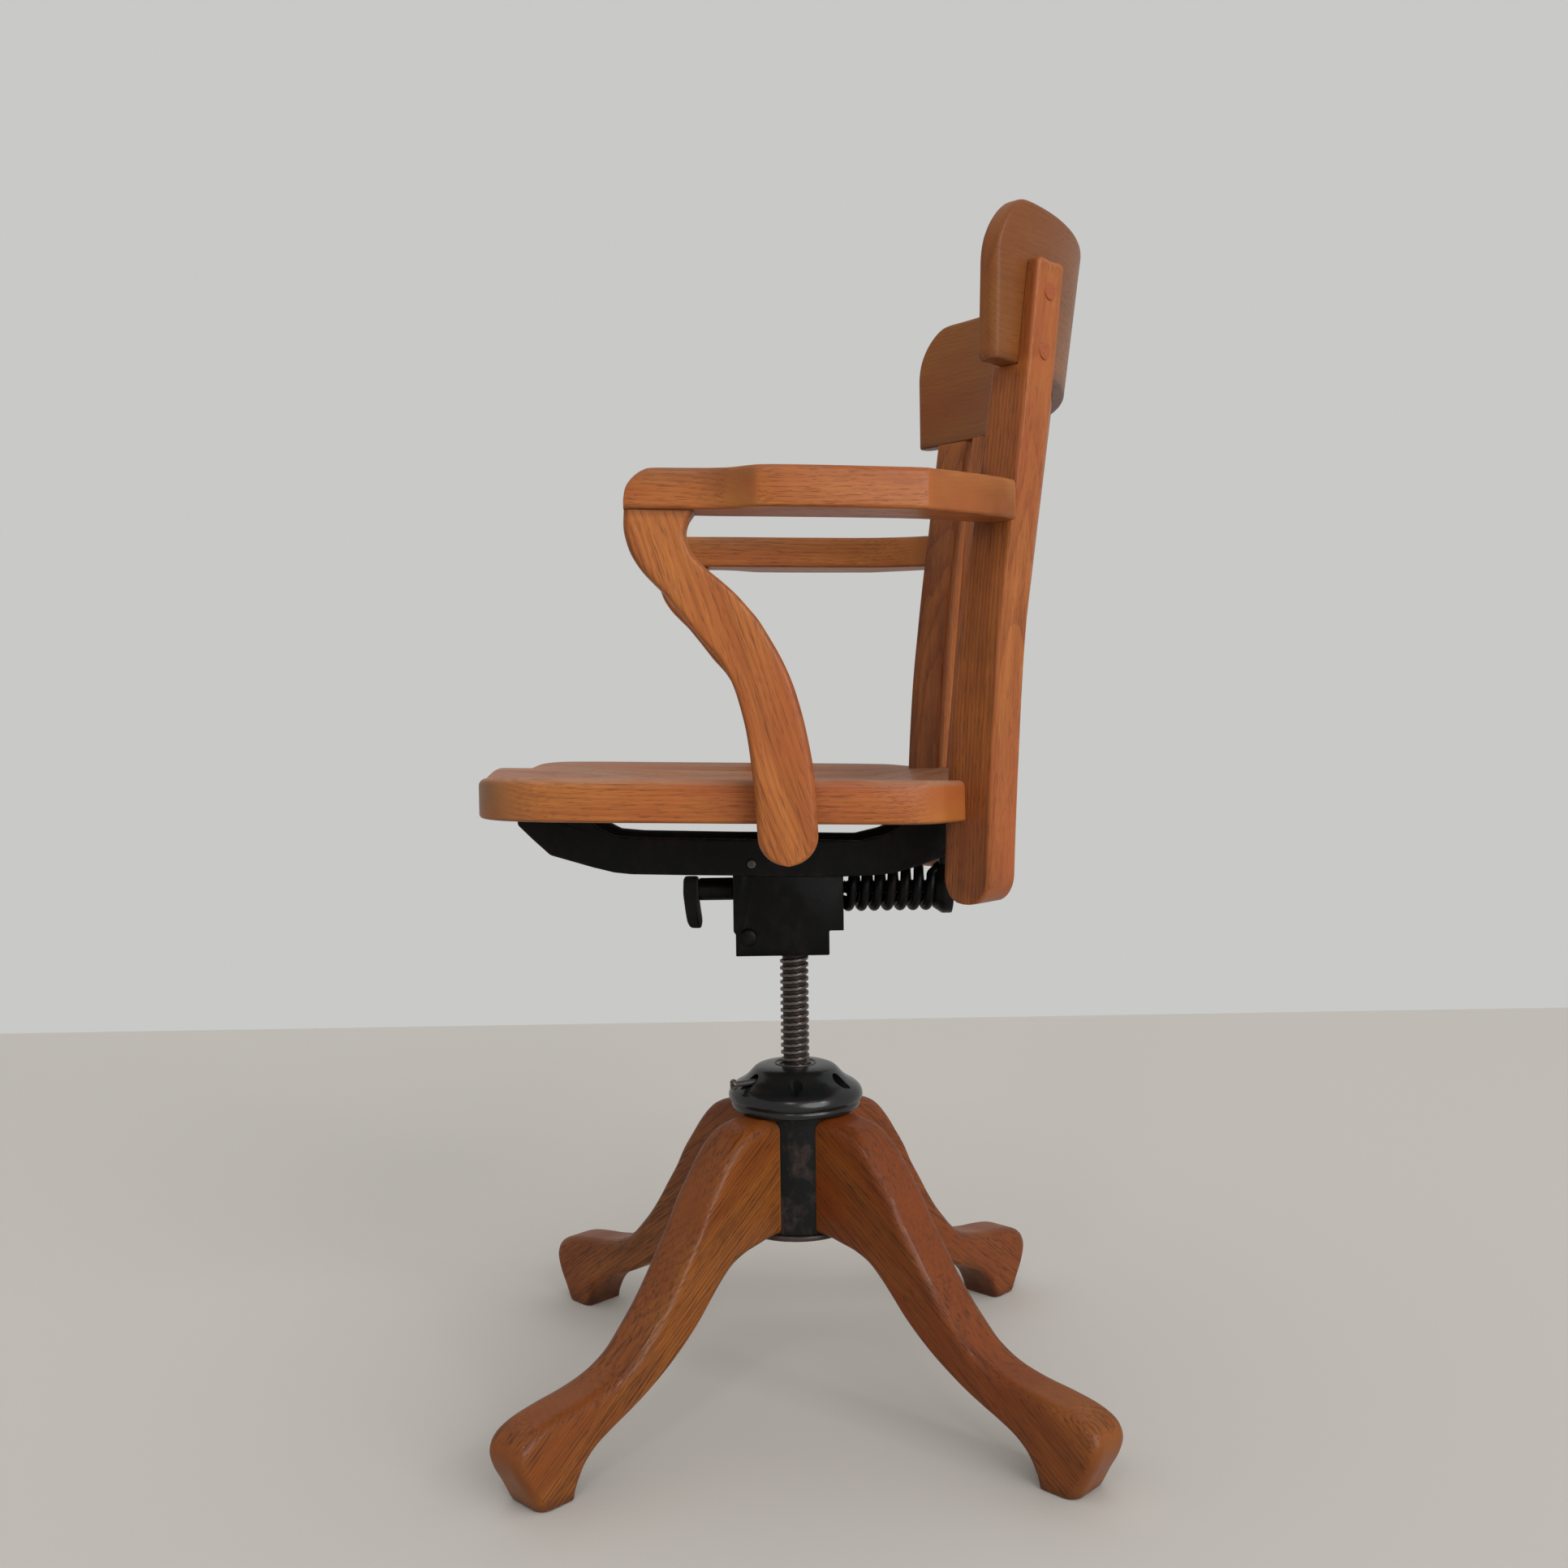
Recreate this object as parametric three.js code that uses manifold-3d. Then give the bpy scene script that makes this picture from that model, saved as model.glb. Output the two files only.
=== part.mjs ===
// An oak swivel armchair on four splayed legs, with a screw for its height and a sprung tilt.
// Millimetres, +Z up. The origin is on the floor at the screw's axis, and the sitter faces -Y.
import * as THREE from "three";
import { mergeVertices } from "three/addons/utils/BufferGeometryUtils.js";
import Module from "manifold-3d";

const wasm = await Module();
wasm.setup();

// Driving sizes.
const fit = 0.3; // gap between pieces that touch
const turnGap = 0.6; // gap round a piece that turns or slides

const legReach = 337; // axis to the furthest point of a foot
const legThickness = 45;
const legCount = 4;
const hipHeight = 256;
const seatUnderside = 532.6; // at the screw's axis; all that the screw carries hangs on this height
const legTopRound = 10;
const legUnderRound = 6;

const columnRadius = 50;
const boreRadius = 16;
const plateRadius = 53;
const plateThickness = 4.5;
const washerThickness = 3.3;
const washerRadius = 46;

const collarRadius = 60.5;
const collarHeight = 44.8;
const spannerHoleRadius = 6;
const spannerHoleCount = 6;
const lockScrewRadius = 2.7;
const lockScrewHeadRadius = 5.9;
const lockScrewHeadHeight = 6;

const spindleRadius = 12.5;
const spindleFoot = 170; // height of the screw's lower end
const socketDepth = 26;

const castingDrop = 130.6; // seat's underside to the casting's foot
const castingFoot = seatUnderside - castingDrop;
const castingHeight = 100;
const castingWidth = 74;
const castingFront = -55;
const castingRear = 44;
const castingWall = 7;
const castingFloorShare = 0.34;
const castingStepShare = 0.22;
const rearStep = 13;
const frontStep = 2;

const pivotRadius = 4;
const pivotY = -38;
const pivotDrop = 46.6; // seat's underside to the pivot's axis
const pivotHeight = seatUnderside - pivotDrop;
const rivetRadius = 4.5;
const rivetHeadRadius = 7.8;
const rivetHeadHeight = 3;
const rivetY = -42;
const rivetRise = 17; // casting's foot to the rivet's axis
const rivetHeight = castingFoot + rivetRise;

const tensionRise = 57; // casting's foot to the tension screw's axis
const tensionAxis = castingFoot + tensionRise;
const tensionRodRadius = 6;
const tensionSleeveRadius = 10.3;
const tensionSleeveLength = 31;
const tensionStubRadius = 5;
const handleThickness = 12;
const handleWidth = 18;
const handleReach = 35;

const wireRadius = 3.9;
const coilRadius = 18.1; // to the middle of the wire
const coilTurns = 6.5;
const cupRadius = 25;
const cupThickness = 17;
const cupY = 128;

const ironThickness = 5;
const ironSpread = 42; // axis to the middle of an iron's web
const ironFootThickness = 4;
const ironFootWidth = 30;
const ironFront = -243;
const ironRear = 172;
const ironDepth = 57; // seat's underside to the lowest point of an iron

const seatThickness = 34.5;
const seatHalfWidth = 212;
const seatFront = -271;
const seatRear = 207;
const seatRise = 0.0205; // how much the seat climbs towards its front, per millimetre
const seatEdgeRound = 6;
const seatDish = 15;
const seatRearBow = 49; // how far the rear edge curves forward by the sides

const supportThickness = 32;
const supportFront = -131;
const supportReach = 144;
const supportDrop = 29.6; // seat's underside to a support's foot
const supportFoot = seatUnderside - supportDrop;
const armRoom = 240.1; // seat's underside to the arm's, at the screw's axis
const armUnderside = seatUnderside + armRoom;
const armThickness = 30;
const armRise = 0.0185;
const armLength = 299;
const armInner = 205;
const armSwell = 65; // the arm's width at its widest
const memberRound = 5;

const postX = 180.5; // a post's outer front edge at its foot
const postY = 151.8;
const postSpread = 22.3; // how far its top stands out from its foot
const postLean = 39.6; // and how far back
const postDrop = 66.6; // seat's underside to a post's foot
const postFoot = seatUnderside - postDrop;
const postLength = 506;
const postTop = postFoot + postLength;
const postFootRound = 20;
const postWidth = 38;
const postThickness = 41;
const postAngle = (42 * Math.PI) / 180; // how far a post's broad face is turned from the back
const postRound = 3.5;

const crestRadius = 302; // outer face
const crestThickness = 18;
const crestLap = 82; // how far the posts reach above the crest's lower edge
const crestBottom = postTop - crestLap;
const crestHeight = 126;
const crestCentre = -58; // Y of the crest's own centre, at its lower edge
const crestLean = 17;
const crestSpan = (44.6 * Math.PI) / 180; // half of the arc
const crestCornerRound = 48;
const crestRound = 5;

const slatCount = 9;
const slatWidth = 20;
const slatThickness = 11;
const slatRound = 2.2;
const slatPitch = (7.15 * Math.PI) / 180;
const slatFootRadius = 231;
const slatFootY = 190;
const slatFootSpread = 0.98;
const tenon = 12;

// Finishes, one for each kind of material.
const finishes = {
  oak: { color: 0x9c6236, roughness: 0.42, metalness: 0 },
  oakDark: { color: 0x8a5230, roughness: 0.45, metalness: 0 },
  oakPale: { color: 0xb07a48, roughness: 0.4, metalness: 0 },
  iron: { color: 0x1c1e1e, roughness: 0.42, metalness: 0.6 },
  castIron: { color: 0x20302c, roughness: 0.38, metalness: 0.65 },
  steel: { color: 0x4a4039, roughness: 0.4, metalness: 0.85 },
};

// Geometry to solids and back.
const weldTolerance = 1e-4;
const [wheelSides, rodSides, holeSides] = [48, 24, 16];

// A closed manifold from a buffer geometry, turned the right way out.
function solidOf(geometry) {
  const bare = new THREE.BufferGeometry();
  bare.setAttribute("position", geometry.getAttribute("position"));
  if (geometry.index) bare.setIndex(geometry.index);
  const welded = mergeVertices(bare, weldTolerance);
  const corners = welded.index.array;
  const faces = [];
  for (let i = 0; i < corners.length; i += 3) {
    const [a, b, c] = [corners[i], corners[i + 1], corners[i + 2]];
    if (a !== b && b !== c && a !== c) faces.push(a, b, c);
  }
  const build = (triangles) =>
    new wasm.Manifold(
      new wasm.Mesh({
        numProp: 3,
        vertProperties: new Float32Array(welded.attributes.position.array),
        triVerts: new Uint32Array(triangles),
      }),
    );
  const made = build(faces);
  if (made.volume() > 0) return made;
  for (let i = 0; i < faces.length; i += 3) [faces[i], faces[i + 1]] = [faces[i + 1], faces[i]];
  return build(faces);
}

function meshOf(name, solid, finish) {
  const made = solid.getMesh();
  const geometry = new THREE.BufferGeometry();
  const positions = new Float32Array(made.numVert * 3);
  for (let i = 0; i < made.numVert; i++)
    positions.set(made.vertProperties.subarray(i * made.numProp, i * made.numProp + 3), i * 3);
  geometry.setAttribute("position", new THREE.BufferAttribute(positions, 3));
  geometry.setIndex(new THREE.BufferAttribute(new Uint32Array(made.triVerts), 1));
  geometry.computeVertexNormals();
  const mesh = new THREE.Mesh(geometry, new THREE.MeshStandardMaterial(finishes[finish]));
  mesh.name = name;
  return mesh;
}

const union = (solids) => solids.reduce((a, b) => a.add(b));
const cut = (solid, tools) => tools.reduce((a, b) => a.subtract(b), solid);

function box(x0, x1, y0, y1, z0, z1) {
  const g = new THREE.BoxGeometry(x1 - x0, y1 - y0, z1 - z0);
  return solidOf(g.translate((x0 + x1) / 2, (y0 + y1) / 2, (z0 + z1) / 2));
}

// A solid of revolution about Z from [radius, height] points.
function lathe(profile, segments = wheelSides) {
  const closed = [...profile, profile[0]].map(([r, z]) => new THREE.Vector2(r, z));
  const g = new THREE.LatheGeometry(closed, segments);
  return solidOf(g.rotateX(Math.PI / 2));
}

// A cylinder between two points.
function rod(from, to, radius, segments = rodSides) {
  const along = new THREE.Vector3().subVectors(to, from);
  const g = new THREE.CylinderGeometry(radius, radius, along.length(), segments);
  const turn = new THREE.Quaternion().setFromUnitVectors(new THREE.Vector3(0, 1, 0), along.normalize());
  const middle = new THREE.Vector3().addVectors(from, to).multiplyScalar(0.5);
  return solidOf(g.applyQuaternion(turn).translate(middle.x, middle.y, middle.z));
}

const alongX = (x0, x1, y, z, radius, segments = rodSides) =>
  rod(new THREE.Vector3(x0, y, z), new THREE.Vector3(x1, y, z), radius, segments);
const alongY = (y0, y1, x, z, radius, segments = rodSides) =>
  rod(new THREE.Vector3(x, y0, z), new THREE.Vector3(x, y1, z), radius, segments);

// A side outline of [y, z] points, as thick as x0 to x1.
function sidePlate(outline, x0, x1) {
  const shape = new THREE.Shape(outline.map(([y, z]) => new THREE.Vector2(y, z)));
  const g = new THREE.ExtrudeGeometry(shape, { depth: x1 - x0, bevelEnabled: false });
  const axes = new THREE.Matrix4().makeBasis(
    new THREE.Vector3(0, 1, 0),
    new THREE.Vector3(0, 0, 1),
    new THREE.Vector3(1, 0, 0),
  );
  return solidOf(g.applyMatrix4(axes).translate(x0, 0, 0));
}

// Points of a convex section with each corner turned by its own radius.
function roundedRing(corners, radii, steps = 2) {
  const ring = [];
  corners.forEach((corner, i) => {
    const before = corners[(i + corners.length - 1) % corners.length];
    const after = corners[(i + 1) % corners.length];
    const limit = 0.49;
    const toBefore = new THREE.Vector3().subVectors(before, corner);
    const toAfter = new THREE.Vector3().subVectors(after, corner);
    const radius = Math.min(radii[i], limit * toBefore.length(), limit * toAfter.length());
    const start = corner.clone().addScaledVector(toBefore.normalize(), radius);
    const end = corner.clone().addScaledVector(toAfter.normalize(), radius);
    const weight = Math.sqrt((1 - toBefore.dot(toAfter)) / 2);
    for (let k = 0; k <= steps; k++) {
      const t = k / steps;
      const [a, b, c] = [(1 - t) ** 2, 2 * weight * t * (1 - t), t ** 2];
      const point = new THREE.Vector3()
        .addScaledVector(start, a)
        .addScaledVector(corner, b)
        .addScaledVector(end, c);
      ring.push(point.divideScalar(a + b + c));
    }
  });
  return ring;
}

// The same section, wider by a gap on every side.
function widened(corners, gap) {
  return corners.map((corner, i) => {
    const before = corners[(i + corners.length - 1) % corners.length];
    const after = corners[(i + 1) % corners.length];
    return corner
      .clone()
      .addScaledVector(new THREE.Vector3().subVectors(corner, before).normalize(), gap)
      .addScaledVector(new THREE.Vector3().subVectors(corner, after).normalize(), gap);
  });
}

// A closed skin over rings of points, with a flat end on the first and the last.
function loft(rings) {
  const count = rings[0].length;
  const points = rings.flat();
  const faces = [];
  for (let i = 0; i + 1 < rings.length; i++)
    for (let k = 0; k < count; k++) {
      const [a, b] = [i * count + k, i * count + ((k + 1) % count)];
      faces.push(a, b, b + count, a, b + count, a + count);
    }
  const last = (rings.length - 1) * count;
  for (let k = 1; k + 1 < count; k++) {
    faces.push(0, k + 1, k);
    faces.push(last, last + k, last + k + 1);
  }
  const g = new THREE.BufferGeometry().setFromPoints(points);
  g.setIndex(faces);
  return solidOf(g);
}

const mirrored = (solid) => solid.mirror([1, 0, 0]);
const lerp = THREE.MathUtils.lerp;
const smooth = THREE.MathUtils.smoothstep;

// A value read off hand-set [position, value] pairs, with smooth slopes between them.
function along(pairs, position) {
  const curve = pairs.map(([at, value]) => new THREE.Vector2(at, value));
  let i = 0;
  while (i < curve.length - 2 && position > curve[i + 1].x) i++;
  const slope = (k) => {
    const [p, q] = [curve[Math.max(k - 1, 0)], curve[Math.min(k + 1, curve.length - 1)]];
    return (q.y - p.y) / (q.x - p.x);
  };
  const [a, b] = [curve[i], curve[i + 1]];
  const span = b.x - a.x;
  const t = THREE.MathUtils.clamp((position - a.x) / span, 0, 1);
  const [t2, t3] = [t * t, t * t * t];
  return (
    (2 * t3 - 3 * t2 + 1) * a.y +
    (t3 - 2 * t2 + t) * span * slope(i) +
    (3 * t2 - 2 * t3) * b.y +
    (t3 - t2) * span * slope(i + 1)
  );
}

// Evenly spread stations on hand-set rows of numbers, smoothed through each row.
function stations(rows, count) {
  const columns = rows[0].map((_, k) => rows.map((row, i) => [i, row[k]]));
  return Array.from({ length: count + 1 }, (_, i) => {
    const at = (i / count) * (rows.length - 1);
    return columns.map((column) => along(column, at));
  });
}

// Shares of the reach and of the hip's height: outer face's r and z, then underside's r and z.
const legShares = [
  [0.12, 1, 0.12, 0.592],
  [0.172, 1, 0.166, 0.591],
  [0.225, 0.992, 0.214, 0.58],
  [0.276, 0.963, 0.261, 0.568],
  [0.318, 0.91, 0.309, 0.543],
  [0.35, 0.855, 0.35, 0.502],
  [0.389, 0.785, 0.389, 0.451],
  [0.421, 0.711, 0.43, 0.395],
  [0.46, 0.637, 0.469, 0.35],
  [0.499, 0.562, 0.504, 0.314],
  [0.54, 0.492, 0.543, 0.279],
  [0.588, 0.424, 0.585, 0.246],
  [0.641, 0.36, 0.626, 0.217],
  [0.706, 0.315, 0.671, 0.19],
  [0.783, 0.29, 0.718, 0.164],
  [0.863, 0.276, 0.76, 0.137],
  [0.935, 0.258, 0.789, 0.109],
  [0.981, 0.229, 0.807, 0.082],
  [0.998, 0.184, 0.819, 0.055],
  [0.988, 0.129, 0.828, 0.031],
  [0.964, 0.07, 0.832, 0.014],
  [0.938, 0, 0.834, 0],
];
const legStations = 24;

// One leg, drawn in the plane through the axis and turned to its corner.
function leg(index) {
  const half = legThickness / 2;
  const rings = stations(legShares, legStations).map(([topR, topZ, underR, underZ]) => {
    const [r0, z0] = [underR * legReach, underZ * hipHeight];
    const [r1, z1] = [topR * legReach, topZ * hipHeight];
    const corners = [
      new THREE.Vector3(r0, -half, z0),
      new THREE.Vector3(r0, half, z0),
      new THREE.Vector3(r1, half, z1),
      new THREE.Vector3(r1, -half, z1),
    ];
    const radii = [legUnderRound, legUnderRound, legTopRound, legTopRound];
    return roundedRing(corners, radii);
  });
  const around = rod(
    new THREE.Vector3(0, 0, 0),
    new THREE.Vector3(0, 0, 2 * hipHeight),
    columnRadius + fit,
    wheelSides,
  );
  const turn = (360 / legCount) * (index + 0.5);
  return loft(rings).subtract(around).rotate([0, 0, turn]);
}

const plateTop = legShares[1][3] * hipHeight - fit;
const plateFoot = plateTop - plateThickness;
const columnTop = hipHeight + fit;

const hubColumn = () =>
  lathe([
    [boreRadius, plateTop + fit],
    [columnRadius, plateTop + fit],
    [columnRadius, columnTop],
    [boreRadius, columnTop],
  ]);

const hubPlate = () =>
  lathe([
    [boreRadius, plateFoot],
    [plateRadius - plateThickness / 3, plateFoot],
    [plateRadius, plateFoot + plateThickness / 3],
    [plateRadius, plateTop],
    [boreRadius, plateTop],
  ]);

const washerFoot = columnTop + fit;
const collarFoot = columnTop + washerThickness / 3;
const collarTop = collarFoot + collarHeight;
const recessTop = washerFoot + washerThickness + fit;

const thrustWasher = () =>
  lathe([
    [boreRadius + turnGap, washerFoot],
    [washerRadius, washerFoot],
    [washerRadius, washerFoot + washerThickness],
    [boreRadius + turnGap, washerFoot + washerThickness],
  ]);

// Shares of the collar's radius and height, from the lip's underside over the bead to the neck.
const collarShares = [
  [0.84, 0],
  [0.925, 0],
  [0.955, 0.04],
  [0.958, 0.115],
  [0.94, 0.15],
  [0.983, 0.18],
  [1, 0.24],
  [0.997, 0.315],
  [0.967, 0.395],
  [0.905, 0.45],
  [0.85, 0.535],
  [0.715, 0.77],
  [0.637, 0.88],
  [0.56, 0.92],
  [0.35, 0.942],
  [0.328, 1],
];
const spannerHeightShare = 0.62;
const spannerBottomShare = 0.6;
const lockScrewIndex = 5;

function collar() {
  const neck = spindleRadius + turnGap;
  const profile = [
    [neck, recessTop],
    [washerRadius + turnGap, recessTop],
    ...collarShares.map(([r, z]) => [r * collarRadius, collarFoot + z * collarHeight]),
    [neck, collarTop],
  ];
  const holes = Array.from({ length: spannerHoleCount }, (_, i) => spannerHole(i));
  const tapped = radialRod(lockScrewIndex, neck / 2, collarRadius, lockScrewRadius + fit);
  return cut(lathe(profile), [...holes, tapped]);
}

// A cylinder that points out from the axis at one of the spanner holes.
function radialRod(index, from, to, radius) {
  const angle = (2 * Math.PI * index) / spannerHoleCount;
  const height = collarFoot + spannerHeightShare * collarHeight;
  const at = (r) => new THREE.Vector3(r * Math.cos(angle), r * Math.sin(angle), height);
  return rod(at(from), at(to), radius, holeSides);
}

const spannerHole = (index) =>
  radialRod(index, spannerBottomShare * collarRadius, 2 * collarRadius, spannerHoleRadius);

function lockScrew() {
  const neck = collarRadius + lockScrewHeadHeight;
  const end = neck + lockScrewHeadHeight;
  const edge = lockScrewHeadHeight / 4;
  const screw = lathe([
    [0, spindleRadius + turnGap + fit],
    [lockScrewRadius, spindleRadius + turnGap + fit],
    [lockScrewRadius, neck],
    [lockScrewHeadRadius, neck],
    [lockScrewHeadRadius, end - edge],
    [lockScrewHeadRadius - edge, end],
    [0, end],
  ], holeSides);
  return screw
    .rotate([0, 90, 0])
    .rotate([0, 0, (360 * lockScrewIndex) / spannerHoleCount])
    .translate([0, 0, collarFoot + spannerHeightShare * collarHeight]);
}

const spindleTop = castingFoot + socketDepth;

function spindle() {
  const tip = spindleRadius / 4;
  return lathe([
    [0, spindleFoot],
    [spindleRadius - tip, spindleFoot],
    [spindleRadius, spindleFoot + tip],
    [spindleRadius, spindleTop],
    [0, spindleTop],
  ], rodSides);
}

const castingTop = castingFoot + castingHeight;
const castingFloor = castingFoot + castingFloorShare * castingHeight;
const castingStep = castingFoot + castingStepShare * castingHeight;
const halfCasting = castingWidth / 2;
const pocketHalf = halfCasting - castingWall;
const rearWallTop = tensionAxis + coilRadius - fit;

// The rod's sweep when the seat leans back, for the slots in the end walls.
const tiltLimit = (10 * Math.PI) / 180;
const sweepAt = (y) => (y - pivotY) * Math.sin(tiltLimit);

// A slot for the tension rod in the wall from y0 to y1.
function rodSlot(y0, y1) {
  const reach = tensionRodRadius + turnGap + fit;
  const up = Math.max(0, -sweepAt(y0));
  const down = Math.max(0, sweepAt(y1));
  return box(-reach, reach, y0 - fit, y1 + fit, tensionAxis - reach - down, tensionAxis + reach + up);
}

function tiltCasting() {
  const lowFront = castingFront + frontStep;
  const lowRear = castingRear - rearStep;
  const earTop = castingTop - castingWall;
  const outline = [
    [lowFront, castingFoot],
    [lowRear, castingFoot],
    [lowRear, castingStep],
    [castingRear, castingStep],
    [castingRear, rearWallTop],
    [castingRear - castingWall, rearWallTop + castingWall],
    [pivotY + 2 * castingWall, castingTop],
    [pivotY - castingWall, castingTop],
    [castingFront, earTop],
    [castingFront, castingStep],
    [lowFront, castingStep - frontStep],
  ];
  const [pocketFront, pocketRear] = [castingFront + castingWall, castingRear - castingWall];
  const frontWallTop = tensionAxis + tensionSleeveRadius + castingWall;
  const tools = [
    box(-pocketHalf, pocketHalf, pocketFront, pocketRear, castingFloor, 2 * castingTop),
    box(-pocketHalf, pocketHalf, 2 * castingFront, pocketFront + fit, frontWallTop, 2 * castingTop),
    box(-pocketHalf, pocketHalf, pocketRear - fit, 2 * castingRear, rearWallTop, 2 * castingTop),
    rodSlot(castingFront, pocketFront),
    rodSlot(pocketRear, castingRear),
    rod(
      new THREE.Vector3(0, 0, castingFoot - fit),
      new THREE.Vector3(0, 0, spindleTop + fit),
      spindleRadius + fit,
    ),
    alongX(-castingWidth, castingWidth, pivotY, pivotHeight, pivotRadius + fit),
    alongX(-castingWidth, castingWidth, rivetY, rivetHeight, rivetRadius + fit),
    alongY(pocketRear - fit, castingRear + fit, coilRadius, tensionAxis, wireRadius + turnGap, holeSides),
  ];
  return cut(sidePlate(outline, -halfCasting, halfCasting), tools);
}

const pivotHalf = ironSpread + ironThickness;

// A cross pin about X from half of its outline, as [radius, distance from the middle] points.
function crossPin(halfProfile, y, z) {
  const other = [...halfProfile].reverse().map(([r, x]) => [r, -x]);
  return lathe([...other, ...halfProfile], holeSides).rotate([0, 90, 0]).translate([0, y, z]);
}

function pivotRod() {
  const dome = pivotRadius / 2;
  const halfProfile = [
    [pivotRadius, pivotHalf],
    [pivotRadius - dome / 2, pivotHalf + dome],
    [0, pivotHalf + dome],
  ];
  return crossPin(halfProfile, pivotY, pivotHeight);
}

// Shares of a rounded rivet head's radius and height.
const rivetHeadShares = [
  [1, 0],
  [0.93, 0.45],
  [0.65, 0.86],
  [0, 1],
];

// A rivet through the casting with a rounded head on each side.
function socketRivet() {
  const face = halfCasting + fit;
  const head = rivetHeadShares.map(([r, x]) => [r * rivetHeadRadius, face + x * rivetHeadHeight]);
  return crossPin([[rivetRadius, face], ...head], rivetY, rivetHeight);
}

const sleeveRear = castingFront - fit;
const sleeveFront = sleeveRear - tensionSleeveLength;
const handleFront = sleeveFront - handleThickness;

function tensionScrew() {
  const tail = cupY + cupThickness + tensionRodRadius;
  const stubEnd = handleFront - tensionStubRadius / 2;
  return union([
    alongY(sleeveFront, tail, 0, tensionAxis, tensionRodRadius),
    alongY(sleeveFront, sleeveRear, 0, tensionAxis, tensionSleeveRadius),
    alongY(stubEnd, sleeveFront + fit, 0, tensionAxis, tensionStubRadius),
  ]);
}

// Shares of the handle's thickness and reach: a flat eye with a tail that bends back.
const handleShares = [
  [0.05, -0.37],
  [1, -0.31],
  [1, 0.3],
  [1.28, 0.78],
  [1.2, 1],
  [0.38, 0.93],
  [0.06, 0.2],
];

function tensionHandle() {
  const front = handleFront - fit;
  const outline = handleShares.map(([y, z]) => [
    front + y * handleThickness,
    tensionAxis - z * handleReach,
  ]);
  const plate = sidePlate(outline, -handleWidth / 2, handleWidth / 2);
  const hole = alongY(2 * handleFront, sleeveFront, 0, tensionAxis, tensionStubRadius + fit);
  return plate.subtract(hole);
}

const wireBendShare = 1.15; // of the wire's radius
const [wireSides, stepsPerTurn, bendSteps] = [5, 8, 3];

// Points on the spring's middle line: straight in the casting, bent round, coiled, bent out again.
function springPoints() {
  const start = castingRear - 2 * wireRadius;
  const end = cupY + 2 * wireRadius;
  const bend = wireBendShare * wireRadius;
  const coilStart = castingRear + bend;
  const coilEnd = cupY - bend;
  const bendTurn = bend / coilRadius;
  const points = [[start, 0]];
  for (let i = 0; i <= bendSteps; i++) {
    const angle = (i / bendSteps) * (Math.PI / 2);
    points.push([castingRear + bend * Math.sin(angle), bendTurn * (1 - Math.cos(angle))]);
  }
  const steps = Math.round(stepsPerTurn * coilTurns);
  const sweep = 2 * Math.PI * coilTurns;
  for (let i = 1; i < steps; i++) {
    const t = i / steps;
    points.push([lerp(coilStart, coilEnd, t), bendTurn + t * sweep]);
  }
  for (let i = bendSteps; i >= 0; i--) {
    const angle = (i / bendSteps) * (Math.PI / 2);
    points.push([cupY - bend * Math.sin(angle), 2 * bendTurn + sweep - bendTurn * (1 - Math.cos(angle))]);
  }
  points.push([end, 2 * bendTurn + sweep]);
  return points.map(
    ([y, angle]) =>
      new THREE.Vector3(coilRadius * Math.cos(angle), y, tensionAxis + coilRadius * Math.sin(angle)),
  );
}

// A tube carried along the points, with no twist between them.
function tiltSpring() {
  const points = springPoints();
  const tangentAt = (i) =>
    new THREE.Vector3()
      .subVectors(points[Math.min(i + 1, points.length - 1)], points[Math.max(i - 1, 0)])
      .normalize();
  let across = new THREE.Vector3(0, 0, 1);
  const rings = points.map((point, i) => {
    const ends = i === 0 || i === points.length - 1;
    const tangent = ends ? new THREE.Vector3(0, 1, 0) : tangentAt(i);
    across = across.clone().addScaledVector(tangent, -across.dot(tangent)).normalize();
    const other = new THREE.Vector3().crossVectors(tangent, across);
    return Array.from({ length: wireSides }, (_, k) => {
      const angle = (2 * Math.PI * k) / wireSides;
      return point
        .clone()
        .addScaledVector(across, wireRadius * Math.cos(angle))
        .addScaledVector(other, wireRadius * Math.sin(angle));
    });
  });
  return loft(rings);
}

// Least gap between turns that are not neighbours along the wire.
function springGap() {
  const points = springPoints();
  const apart = stepsPerTurn - 2;
  let least = Infinity;
  for (let i = 0; i < points.length; i++)
    for (let k = i + apart; k < points.length; k++) least = Math.min(least, points[i].distanceTo(points[k]));
  return least - 2 * wireRadius;
}

const seatFloor = (y) => seatUnderside - seatRise * y;

// Half of the plan, as shares of the half width and of the depth from the front to the rear.
const seatShares = [
  [0, 0],
  [0.19, 0.001],
  [0.36, 0.006],
  [0.52, 0.014],
  [0.71, 0.024],
  [0.84, 0.038],
  [0.93, 0.07],
  [0.98, 0.122],
  [1, 0.195],
  [1, 0.34],
  [1, 0.48],
  [1, 0.62],
  [0.992, 0.74],
  [0.975, 0.795],
  [0.935, 0.832],
  [0.868, 0.853],
  [0.78, 0.868],
  [0.7, 0.9],
  [0.6, 0.945],
  [0.45, 0.977],
  [0.24, 0.995],
  [0, 1],
];
const seatRimPoints = 72;

function seatRim() {
  const right = seatShares.map(([x, y]) => [x * seatHalfWidth, lerp(seatFront, seatRear, y)]);
  const left = right.slice(1, -1).reverse().map(([x, y]) => [-x, y]);
  const points = [...right, ...left].map(([x, y]) => new THREE.Vector3(x, y, 0));
  const curve = new THREE.CatmullRomCurve3(points, true, "centripetal");
  return curve.getSpacedPoints(seatRimPoints).slice(0, -1);
}

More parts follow.
